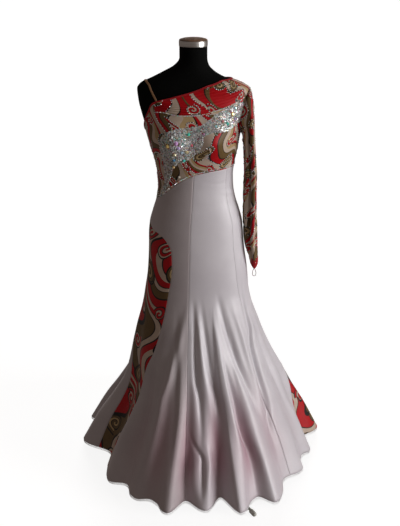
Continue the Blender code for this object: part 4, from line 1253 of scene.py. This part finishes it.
@dataclass(frozen=True)
class Sleeve:
    """Long sleeve with its pointed cuff and the loop for a finger."""

    figure: Figure
    columns: int = 128
    rows: int = 204
    armhole_inset: float = 0.0006
    cuff_height: float = 0.020
    cuff_point: float = 0.015
    cuff_overhang: float = 0.003
    cuff_gap: float = 0.0016
    cuff_wall: float = 0.0011
    cuff_run: int = 19
    wrist_radius: float = 0.022
    wrist_pleats: int = 11
    loop_centre: tuple = (0.2112, -0.0317, 0.7580)
    loop_width: float = 0.0081
    loop_half_height: float = 0.0152
    loop_opening: float = 33.0
    loop_diameter: float = 0.002

    def rings(self, out: float = 0.0) -> Array:
        """Fine rings of the sleeve's face from armhole to wrist, turns by rings by coordinates."""
        turns = np.linspace(0, TAU, self.columns + 1)
        cosine, sine_ = np.cos(turns), np.sin(turns)
        inset = self.armhole_inset - out
        reach = ARMHOLE_REACH - inset / ARMHOLE_METRES_PER_DEGREE
        height = ARMHOLE_HALF_HEIGHT - inset
        hole = self.figure.surface(SHOULDER_AZIMUTH - reach * sine_, ARMHOLE_Z + height * cosine)
        rings = [hole]
        for outer_x, outer_z, body_x, body_z, depth, hang in SLEEVE_RINGS:
            length = math.hypot(outer_x - body_x, outer_z - body_z)
            across = ((1 + 2 * out / length) * cosine + 1) / 2
            x = body_x + (outer_x - body_x) * across + self.figure.axis_x
            z = body_z + (outer_z - body_z) * across
            y = SLEEVE_SHIFT_Y * hang - (depth + out) * sine_ + self.figure.axis_y
            hung = np.stack((x, y, z), axis=-1)
            rings.append(hole * (1 - hang) + hung * hang)
        coarse = np.stack(rings, axis=1)
        at = np.linspace(0, len(rings) - 1, self.rows + 1)
        k = np.clip(at.astype(int), 0, len(rings) - 2)
        t = (at - k)[None, :, None]
        slope = np.gradient(coarse, axis=1)
        a, b, da, db = coarse[:, k], coarse[:, k + 1], slope[:, k], slope[:, k + 1]
        bend = 3 * (b - a) - 2 * da - db + t * (2 * (a - b) + da + db)
        return a + t * (da + t * bend)

    def normals(self, rings: Array) -> Array:
        """Unit normals of the rings, pointing outwards."""
        ahead = np.roll(rings[:-1], -1, axis=0) - np.roll(rings[:-1], 1, axis=0)
        ahead = np.concatenate((ahead, ahead[:1]))
        return unit(np.cross(ahead, np.gradient(rings, axis=1)))

    def face(self) -> tuple:
        """Points with their folds, and places on the flat cloth."""
        rings = self.rings()
        turns = np.linspace(0, 360, self.columns + 1)[:, None]
        share = np.linspace(0, 1, self.rows + 1)[None, :]
        lift = np.zeros((self.columns + 1, self.rows + 1))
        for top, wrist, first, last, half, depth in SLEEVE_FOLDS:
            centre = top + (wrist - top) * share + 5 * np.sin(share * 9 + top)
            across = ((turns - centre + 180) % 360 - 180) / half
            window = ease(share, first, first + 0.10) * (1 - ease(share, last - 0.06, last + 0.02))
            lift += depth * window * np.exp(-across**2)
        side = (1 + np.cos(np.radians(turns))) / 2
        for body, outer, half, depth in SLEEVE_DRAGS:
            centre = body + (outer - body) * side
            centre = centre + 0.012 * np.sin(np.radians(turns) * 2 + body * 30)
            patchy = 0.55 + 0.45 * np.cos(np.radians(turns) * 2 + body * 40)
            lift += depth * patchy * np.exp(-((share - centre) / half) ** 2)
        gather = ease(share, 0.93, 1.0)
        lift += 0.0016 * gather * np.sin(np.radians(turns) * self.wrist_pleats)
        points = rings + self.normals(rings) * lift[..., None]
        around = np.linalg.norm(np.diff(rings, axis=0), axis=-1).mean(axis=0)
        down = np.linalg.norm(np.diff(rings, axis=1), axis=-1).mean(axis=0)
        v = 1.5 - np.concatenate(((0.0,), np.cumsum(down)))
        u = (np.arange(self.columns + 1) - self.columns / 2)[:, None] * around[None, :]
        return points, np.stack(np.broadcast_arrays(u, v[None, :]), axis=-1), rings

    def build(self, printed: bpy.types.Material, red: bpy.types.Material,
              elastic: bpy.types.Material) -> None:
        """Builds the sleeve, the cuff and the loop."""
        points, places, rings = self.face()
        piece = cloth_object("sleeve_cloth", points[:, ::-1], places[:, ::-1], printed, closed=True)
        self.turn_out(piece)
        hand_over(piece, "printed_satin", "sleeve")
        self.build_cuff(red)
        self.build_loop(elastic)

    def turn_out(self, piece: bpy.types.Object) -> None:
        """Turns the faces of a closed tube outwards."""
        with editing(piece.data) as bm:
            middle = sum((vert.co for vert in bm.verts), Vector()) / len(bm.verts)
            leaning = [face.normal.dot(self.from_axis(face.calc_center_median(), middle))
                       for face in bm.faces]
            if sum(1 if lean < 0 else -1 for lean in leaning) > 0:
                bmesh.ops.reverse_faces(bm, faces=bm.faces[:])

    def from_axis(self, place: Vector, middle: Vector) -> Vector:
        """Level direction from the tube's middle line to a place."""
        return Vector((place.x - middle.x, place.y - middle.y, 0.0))

    def build_cuff(self, red: bpy.types.Material) -> None:
        """Builds the cuff, pointed at the front of the hand."""
        rings = self.rings(out=self.cuff_gap)
        turns = np.linspace(0, TAU, self.columns + 1)
        point = np.clip(np.cos(turns - math.pi / 2), 0, 1) ** 3
        drop = self.cuff_overhang + self.cuff_point * point
        wrist, above = rings[:, -1], rings[:, -self.cuff_run]
        lift = (wrist - above) / np.linalg.norm(wrist - above, axis=-1, keepdims=True)
        t = np.linspace(0, 1, 33)[None, :, None]
        length = (self.cuff_height + drop)[:, None, None]
        top = wrist - lift * self.cuff_height
        down = t * length
        points = top[:, None] + lift[:, None] * np.minimum(down, self.cuff_height)
        below_wrist = np.clip(down - self.cuff_height, 0, None)
        points = points - np.array((0.0, 0.0, 1.0)) * below_wrist
        around = turns[:, None] * self.wrist_radius
        places = np.stack(np.broadcast_arrays(around, down[..., 0]), axis=-1)
        piece = cloth_object("cuff_cloth", points, places, red, wall=self.cuff_wall, closed=True)
        self.turn_out(piece)
        hand_over(piece, "red_binding", "sleeve_cuff")

    def build_loop(self, elastic: bpy.types.Material) -> None:
        """Builds the elastic loop as a cord."""
        turn = np.radians(np.linspace(self.loop_opening, 360 - self.loop_opening, 41))
        across = self.loop_width * np.sin(turn) * np.sin(turn / 2)
        points = np.stack((across, 0 * turn, self.loop_half_height * np.cos(turn)), axis=-1)
        points = points + np.array(self.loop_centre) + (self.figure.axis_x, self.figure.axis_y, 0)
        curve = bpy.data.curves.new("loop_cord", "CURVE")
        curve.dimensions = "3D"
        curve.bevel_depth = self.loop_diameter / 2
        curve.bevel_resolution = 3
        curve.use_fill_caps = True
        spline = curve.splines.new("POLY")
        spline.points.add(len(points) - 1)
        for knot, point in zip(spline.points, points):
            knot.co = (*point, 1.0)
        curve.materials.append(elastic)
        piece = bpy.data.objects.new("loop_cord", curve)
        bpy.context.scene.collection.objects.link(piece)
        hand_over(piece, "red_binding", "finger_loop")


@dataclass(frozen=True)
class Form:
    """Covered torso of the dress form with the cap on its neck."""

    figure: Figure
    columns: int = 112
    rows: int = 120
    cover_foot: float = 0.800
    bottom_share: float = 0.93
    band_edge: float = 0.0012
    band_groove: float = 0.0005
    lid_edge: float = 0.0010
    turning_steps: int = 96

    def build(self, cover: bpy.types.Material, steel: bpy.types.Material,
              wood: bpy.types.Material) -> None:
        """Builds the cover, the cap's band and its lid."""
        azimuth = np.linspace(0, 360, self.columns + 1)[:, None]
        z = np.linspace(self.cover_foot, NECK_TOP, self.rows + 1)[None, :]
        azimuth, z = np.broadcast_arrays(azimuth, z)
        near = np.clip((z - HIP_START) / (CHEST_START - HIP_START), 0, 1)
        gap = FORM_GAP_HIP + (FORM_GAP_CHEST - FORM_GAP_HIP) * near
        points = self.figure.surface(azimuth, z) - self.figure.normal(azimuth, z) * gap[..., None]
        points[:, -1, 2] = NECK_TOP
        places = self.figure.cloth_place(azimuth, z, 180.0)
        piece = cloth_object(COVER, points, places, cover, wall=0.0, closed=True)
        axis_x, axis_y = self.figure.axis_x, self.figure.axis_y
        with editing(piece.data) as bm:
            rim = [edge for edge in bm.edges if edge.is_boundary]
            bottom = [edge for edge in rim if edge.verts[0].co.z < 1.0]
            made = bmesh.ops.extrude_edge_only(bm, edges=bottom)["geom"]
            for vert in [part for part in made if isinstance(part, bmesh.types.BMVert)]:
                vert.co.x = axis_x + (vert.co.x - axis_x) * self.bottom_share
                vert.co.y = axis_y + (vert.co.y - axis_y) * self.bottom_share
                vert.co.z = FORM_BOTTOM
            rim = [edge for edge in bm.edges if edge.is_boundary]
            bmesh.ops.holes_fill(bm, edges=rim, sides=0)
            bmesh.ops.recalc_face_normals(bm, faces=bm.faces[:])
        piece.data.set_sharp_from_angle(angle=math.radians(50))
        hand_over(piece, "black_form", "form_torso")
        self.build_cap(steel, wood)

    def build_cap(self, steel: bpy.types.Material, wood: bpy.types.Material) -> None:
        """Builds the cap's band and its domed lid by turning their profiles."""
        low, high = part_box("form_cap_band")
        radius = (high.x - low.x) / 2
        edge, groove = self.band_edge, radius - self.band_groove
        band = ((0.0, low.z), (radius - edge, low.z), (radius, low.z + edge),
                (radius, low.z + 0.0030), (groove, low.z + 0.0034), (groove, low.z + 0.0040),
                (radius, low.z + 0.0044), (radius, high.z - edge), (radius - edge, high.z),
                (0.0, high.z))
        self.turned("cap_band", band, steel, "brushed_metal", "form_cap_band")
        low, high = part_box("form_cap_top")
        radius = (high.x - low.x) / 2
        edge = self.lid_edge
        lid = [(0.0, low.z), (radius - edge, low.z), (radius, low.z + edge)]
        for turn in np.radians(np.linspace(8, 90, 12)):
            rise = (high.z - low.z - edge) * math.sin(turn)
            lid.append((radius * math.cos(turn), low.z + edge + rise))
        self.turned("cap_lid", tuple(lid), wood, "cap_wood", "form_cap_top")

    def turned(self, name: str, profile: tuple, material: bpy.types.Material, slot: str,
               node: str) -> None:
        """Builds a solid of revolution round the form's axis and hands it over."""
        centre = Vector((self.figure.axis_x, self.figure.axis_y, 0.0))
        mesh = bpy.data.meshes.new(name)
        with editing(mesh) as bm:
            verts = [bm.verts.new(centre + Vector((radius, 0.0, z))) for radius, z in profile]
            edges = [bm.edges.new(pair) for pair in zip(verts, verts[1:])]
            bmesh.ops.spin(bm, geom=verts + edges, cent=centre, axis=(0, 0, 1), angle=TAU,
                           steps=self.turning_steps, use_merge=True)
            bmesh.ops.remove_doubles(bm, verts=bm.verts[:], dist=MERGE_DISTANCE)
            bmesh.ops.recalc_face_normals(bm, faces=bm.faces[:])
        piece = finished(name, mesh, material)
        mesh.set_sharp_from_angle(angle=math.radians(35))
        hand_over(piece, slot, node)


# Sides of a stone, and the half width of its top and its height as shares of its diameter.
STONE_SIDES = 8
STONE_TOP = 0.27
STONE_HEIGHT = 0.38
# Stones that are built together before they join the rest.
STONE_BATCH = 60
# Least and greatest diameter of the stones along the motifs.
MOTIF_STONES = (0.0034, 0.0042)
# Tints of the stones: share of them, then the colour.
TINTS = (
    (0.62, (0.97, 0.99, 0.99)), (0.12, (0.72, 0.93, 0.96)), (0.08, (0.92, 0.76, 0.96)),
    (0.08, (0.99, 0.90, 0.60)), (0.06, (0.50, 0.93, 0.82)), (0.04, (0.98, 0.62, 0.60)),
)
# Large stones of the bodice: azimuth, height, diameter and tint.
LARGE_STONES = (
    (-33.0, 1.226, 0.0150, (0.98, 0.74, 0.26)), (-25.0, 1.198, 0.0130, (0.98, 0.92, 0.62)),
    (-20.5, 1.236, 0.0155, (0.84, 0.50, 0.96)), (-18.5, 1.220, 0.0130, (0.72, 0.60, 0.98)),
    (-12.5, 1.176, 0.0120, (0.10, 0.80, 0.66)), (-27.0, 1.176, 0.0110, (0.16, 0.52, 0.94)),
    (-5.0, 1.262, 0.0125, (0.12, 0.82, 0.62)), (-2.0, 1.228, 0.0100, (0.92, 0.22, 0.28)),
    (-8.0, 1.206, 0.0125, (0.98, 0.84, 0.50)), (-30.0, 1.150, 0.0110, (0.96, 0.70, 0.34)),
    (-15.0, 1.205, 0.0110, (0.60, 0.80, 0.98)), (-21.0, 1.262, 0.0100, (0.95, 0.97, 0.99)),
    (12.0, 1.264, 0.0095, (0.94, 0.52, 0.84)), (26.0, 1.286, 0.0100, (0.50, 0.90, 0.96)),
    (34.0, 1.300, 0.0105, (0.94, 0.40, 0.44)), (41.0, 1.292, 0.0120, (0.16, 0.84, 0.70)),
    (46.0, 1.320, 0.0130, (0.98, 0.76, 0.28)), (52.0, 1.304, 0.0110, (0.74, 0.62, 0.98)),
    (49.0, 1.338, 0.0100, (0.50, 0.92, 0.94)), (-22.0, 1.116, 0.0095, (0.96, 0.92, 0.80)),
)
# Middle line of the crusted band: azimuth, height and half width in metres.
CRUST = (
    (-62.0, 1.042, 0.006), (-54.0, 1.062, 0.010), (-46.0, 1.105, 0.013), (-38.0, 1.160, 0.022),
    (-30.0, 1.200, 0.040), (-20.0, 1.222, 0.052), (-9.0, 1.238, 0.044), (1.0, 1.262, 0.022),
    (12.0, 1.276, 0.016), (24.0, 1.290, 0.021), (36.0, 1.300, 0.033), (48.0, 1.312, 0.036),
    (57.0, 1.322, 0.032),
)


class Stones:
    """Crystals glued to the cloth, gathered until one piece is built of them."""

    def __init__(self, material: bpy.types.Material) -> None:
        """Starts with no stones."""
        self.material = material
        self.tilt = 0.26
        self.random = np.random.default_rng(7)
        self.rows: list = []
        self.taken: dict = {}

    def free(self, place: Array, spacing: float) -> bool:
        """Whether no stone lies within the spacing, noting this one if so."""
        cell = 0.006
        key = tuple(int(c // cell) for c in place)
        for dx in (-1, 0, 1):
            for dy in (-1, 0, 1):
                for dz in (-1, 0, 1):
                    for other, size in self.taken.get((key[0] + dx, key[1] + dy, key[2] + dz), ()):
                        if np.sum((other - place) ** 2) < ((spacing + size) / 2) ** 2:
                            return False
        self.taken.setdefault(key, []).append((place, spacing))
        return True

    def tint(self) -> tuple:
        """Tint of the next small stone."""
        draw = self.random.random()
        for share, colour in TINTS:
            draw -= share
            if draw < 0:
                return colour
        return TINTS[0][1]

    def scatter(self, places: Array, normals: Array, size: tuple, spacing: float, most: int,
                least: float = 0.75) -> int:
        """Sets stones on as many of the places as the spacing lets through.

        Args:
            places: Candidate places.
            normals: The cloth's normals there.
            size: Least and greatest diameter.
            spacing: Distance between two stones' centres.
            most: Greatest number of stones.
            least: Painted glint of the dullest stone, as a share of full brightness.

        Returns:
            The number set.
        """
        count = 0
        for k in self.random.permutation(len(places)):
            if count >= most:
                break
            if self.free(places[k], spacing):
                diameter = self.random.uniform(*size)
                self.rows.append((places[k], normals[k], diameter, self.tint(), least))
                count += 1
        return count

    def line(self, places: Array, normals: Array, size: float, spacing: float) -> int:
        """Sets a row of stones along ordered places."""
        count = 0
        for place, normal in zip(places, normals):
            if self.free(place, spacing):
                self.rows.append((place, normal, size, self.tint(), 0.75))
                count += 1
        return count

    def single(self, place: Array, normal: Array, size: float, tint: tuple) -> None:
        """Sets one stone of a given tint."""
        self.free(place, size)
        self.rows.append((place, normal, size, tint, 0.85))

    def build(self, name: str) -> None:
        """Builds the stones as one piece of faceted domes."""
        whole = bmesh.new()
        for start in range(0, len(self.rows), STONE_BATCH):
            chunk = bmesh.new()
            layer = chunk.loops.layers.float_color.new("tint")
            for place, normal, size, tint, least in self.rows[start:start + STONE_BATCH]:
                # Painted glint: each stone, and each facet of it, is brightened or dulled at random
                # in its colour.
                own = least + (1 - least) * self.random.random() ** 0.8
                spin = Matrix.Rotation(self.random.uniform(0, TAU), 4, "Z")
                leaning = Vector(normal) + Vector(self.random.uniform(-self.tilt, self.tilt, 3))
                facing = leaning.to_track_quat("Z", "Y").to_matrix().to_4x4()
                rise = Vector(normal) * size * (STONE_HEIGHT / 2)
                centre = Matrix.Translation(Vector(place) + rise)
                made = bmesh.ops.create_cone(
                    chunk, cap_ends=True, segments=STONE_SIDES, radius1=size / 2,
                    radius2=size * STONE_TOP, depth=size * STONE_HEIGHT,
                    matrix=centre @ facing @ spin)
                for face in {face for vert in made["verts"] for face in vert.link_faces}:
                    painted_glint = own * self.random.uniform(0.75, 1.0)
                    for loop in face.loops:
                        loop[layer] = (*(painted_glint * c for c in tint), 1.0)
            mesh = bpy.data.meshes.new("chunk")
            chunk.to_mesh(mesh)
            chunk.free()
            whole.from_mesh(mesh)
            bpy.data.meshes.remove(mesh)
        mesh = bpy.data.meshes.new(name)
        whole.to_mesh(mesh)
        whole.free()
        mesh.materials.append(self.material)
        piece = bpy.data.objects.new(name, mesh)
        bpy.context.scene.collection.objects.link(piece)
        LOG.info("%s: %d stones, %d faces", name, len(self.rows), len(mesh.polygons))
        hand_over(piece, "crystal")


def fine_normals(points: Array) -> Array:
    """Unit normals of a grid of points, on the side that its columns and rows turn round to."""
    return unit(np.cross(np.gradient(points, axis=0), np.gradient(points, axis=1)))


def in_crust(azimuth: Array, z: Array) -> Array:
    """Whether each place lies in the bodice's crusted band."""
    line = np.array(CRUST)
    azimuths = np.linspace(line[0, 0], line[-1, 0], 160)
    heights, halves = (smooth_line(line[:, 0], line[:, c], azimuths) for c in (1, 2))
    across = np.radians(azimuth[..., None] - azimuths) * CHEST_RADIUS
    far = np.sqrt(across**2 + (z[..., None] - heights) ** 2) / halves
    return far.min(axis=-1) < 1


def yoke_edge_height(azimuth: Array) -> Array:
    """Height of the yoke's lower edge."""
    return along(YOKE_EDGE, azimuth)


def on_outlines(places: Array, bands: tuple, rim_half: float = 0.0008,
                band_half: float = 0.0006) -> Array:
    """Whether each place of the flat cloth lies on the outline of a curl or of a band.

    Args:
        places: Places on the flat cloth, in metres.
        bands: Inks of the bands between the curls.
        rim_half: Half width of the line round a curl.
        band_half: Half width of the line along a band.

    Returns:
        True on the lines.
    """
    _, rim, band = swirl_print(places[..., 0], places[..., 1], BODY_CELL, bands)
    return (np.abs(rim) * BODY_CELL < rim_half) | (np.abs(band) * BODY_CELL < band_half)


def decorate(figure: Figure, bodice: Bodice, sleeve: Sleeve,
             crystal: bpy.types.Material) -> None:
    """Sets the stones: the crusted band, rows round the motifs, and rows along the edges."""
    stones = Stones(crystal)
    for azimuth, z, size, tint in LARGE_STONES:
        spot = np.array(azimuth), np.array(z)
        stones.single(bodice.face(*spot), figure.normal(*spot), size, tint)
    fine = Bodice(figure, columns=420, side_rows=110, armhole_rows=150, shoulder_rows=70)
    azimuth, z = fine.half(True)
    points, normals = fine.face(azimuth, z), figure.normal(azimuth, z)
    inside = in_crust(azimuth, z)
    count = stones.scatter(points[inside], normals[inside], (0.0032, 0.0056), 0.0027, 2600, 0.22)
    LOG.info("crust: %d", count)
    line = on_outlines(figure.cloth_place(azimuth, z, 0.0), BODY_BANDS)
    line &= (z < yoke_edge_height(azimuth)) | (azimuth < -44) | (azimuth > 60)
    line &= z > waist_height(azimuth) + 0.004
    LOG.info("motifs: %d", stones.scatter(points[line], normals[line], MOTIF_STONES, 0.0054, 700))
    for edge, low, high, rise in ((waist_height, -88.0, 88.0, 0.005),
                                  (yoke_edge_height, -44.0, 60.0, -0.002)):
        row = np.linspace(low, high, 1600)
        height = edge(row) + rise
        count = stones.line(bodice.face(row, height), figure.normal(row, height), 0.0048, 0.0052)
        LOG.info("edge: %d", count)
    azimuth, z, points = bodice.yoke_face(400, 200)
    line = on_outlines(figure.cloth_place(azimuth, z, bodice.yoke_base), YOKE_BANDS)
    count = stones.scatter(points[line], fine_normals(points)[line], MOTIF_STONES, 0.0060, 140)
    LOG.info("yoke: %d", count)
    points, places, rings = sleeve.face()
    line = on_outlines(places, BODY_BANDS, 0.0010, 0.0007)
    normals = sleeve.normals(rings)[line] * sleeve_side(sleeve, rings)
    LOG.info("sleeve: %d", stones.scatter(points[line], normals, MOTIF_STONES, 0.0055, 600))
    stones.build("crystals")


def sleeve_side(sleeve: Sleeve, rings: Array) -> float:
    """1 if the sleeve's normals point outwards, and -1 if they point inwards."""
    middle = rings[:-1].mean(axis=0)
    outwards = ((rings - middle) * sleeve.normals(rings)).sum()
    return 1.0 if outwards > 0 else -1.0


@dataclass(frozen=True)
class Studio:
    """Floor, backdrop, light and camera; the floor and backdrop throw no light on the dress."""

    floor_half: float = 40.0
    backdrop_radius: float = 38.0
    sky_colour: tuple = (1.0, 0.84, 0.76, 1.0)
    sky_strength: float = 0.17
    lens: float = 58.291
    sensor_width: float = 36.0
    camera_turn: float = 68.733
    camera_from_axis: tuple = (0.0215, -2.8, 1.869)

    def build(self, figure: Figure) -> None:
        """Builds the floor, the backdrop, the lights and the camera."""
        mesh = bpy.data.meshes.new("floor")
        with editing(mesh) as bm:
            bmesh.ops.create_grid(bm, x_segments=4, y_segments=4, size=self.floor_half)
        floor_piece = finished("floor", mesh, studio_floor())
        mesh = bpy.data.meshes.new("backdrop")
        with editing(mesh) as bm:
            bmesh.ops.create_uvsphere(bm, u_segments=48, v_segments=24,
                                      radius=self.backdrop_radius)
            bmesh.ops.reverse_faces(bm, faces=bm.faces[:])
        backdrop = finished("backdrop", mesh, studio_wall())
        backdrop.visible_shadow = False
        for piece in (floor_piece, backdrop):
            piece.visible_diffuse = False
            piece.visible_glossy = False
        self.sun("key", (83.0, 0.0, 70.0), 3.65, 34.0, (1.0, 0.985, 0.98), True)
        self.sun("back", (68.0, 0.0, 180.0), 2.1, 30.0, (1.0, 0.985, 0.97), False)
        world = bpy.data.worlds.new("studio")
        bpy.context.scene.world = world
        world.use_nodes = True
        sky = world.node_tree.nodes["Background"].inputs
        sky["Color"].default_value = self.sky_colour
        sky["Strength"].default_value = self.sky_strength
        bpy.context.scene.view_settings.view_transform = "Standard"
        self.build_camera(figure)

    def build_camera(self, figure: Figure) -> None:
        """Builds the camera at the photograph's viewing angle."""
        camera = bpy.data.objects.new("camera", bpy.data.cameras.new("camera"))
        camera.data.lens = self.lens
        camera.data.sensor_width = self.sensor_width
        x, y, z = self.camera_from_axis
        camera.location = (figure.axis_x + x, figure.axis_y + y, z)
        camera.rotation_euler = (math.radians(self.camera_turn), 0.0, 0.0)
        bpy.context.scene.collection.objects.link(camera)
        bpy.context.scene.camera = camera

    def sun(self, name: str, turn: tuple, strength: float, softness: float, tint: tuple,
            mirrored: bool) -> None:
        """Adds a soft far light from a direction, which shiny pieces mirror or not."""
        light = bpy.data.lights.new(name, "SUN")
        light.energy = strength
        light.color = tint
        light.angle = math.radians(softness)
        lamp = bpy.data.objects.new(name, light)
        lamp.rotation_euler = [math.radians(angle) for angle in turn]
        lamp.visible_glossy = mirrored
        bpy.context.scene.collection.objects.link(lamp)


def dress_stand(frame: dict) -> None:
    """Gives the stand's own CAD nodes their finishes."""
    paint, rubber = painted_steel(), grey_rubber()
    for name, node in frame["nodes"].items():
        if name.startswith("stand_"):
            node.data.materials.clear()
            node.data.materials.append(rubber if name.startswith("stand_foot") else paint)
            LOG.info("%s: kept", name)


def main() -> None:
    """Builds every piece in order."""
    logging.basicConfig(level=logging.INFO, format="%(message)s")
    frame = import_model()
    low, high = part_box("stand_pole")
    figure = Figure((low.x + high.x) / 2, (low.y + high.y) / 2)
    Studio().build(figure)
    straight = white_satin("white_satin", (1.0, 1.0, 1.0))
    # Painted shade: the left gores' satin is darkened, as they stand on the shaded side.
    turned = white_satin("white_satin_painted_shade", (0.70, 0.66, 0.64))
    printed = printed_satin("printed_satin", BODY_CELL, BODY_BANDS)
    red = ribbed_cloth("red_knit", (0.270, 0.000, 0.004), (0.400, 0.002, 0.008), 700.0)
    tan = ribbed_cloth("tan_knit", (0.230, 0.120, 0.058), (0.330, 0.190, 0.098), 900.0)
    sleeve = Sleeve(figure)
    elastic = ribbed_cloth("dark_elastic", (0.110, 0.012, 0.022), (0.160, 0.026, 0.038), 900.0)
    sleeve.build(printed, red, elastic)
    Form(figure).build(black_jersey(), brushed_steel(), turned_wood())
    bodice = Bodice(figure)
    bodice.build(printed)
    bodice.build_yoke(printed_satin("printed_yoke", BODY_CELL, YOKE_BANDS))
    bodice.build_binding(red)
    bodice.build_strap(tan)
    skirt = Skirt(figure)
    patterned = printed_satin("printed_skirt", SKIRT_CELL, SKIRT_BANDS)
    skirt.build({Cloth.STRAIGHT: straight, Cloth.PAINTED_SHADE: turned, Cloth.PRINTED: patterned})
    skirt.build_crin(crin_nylon())
    decorate(figure, bodice, sleeve, foiled_crystal())
    dress_stand(frame)


if __name__ == "__main__":
    main()
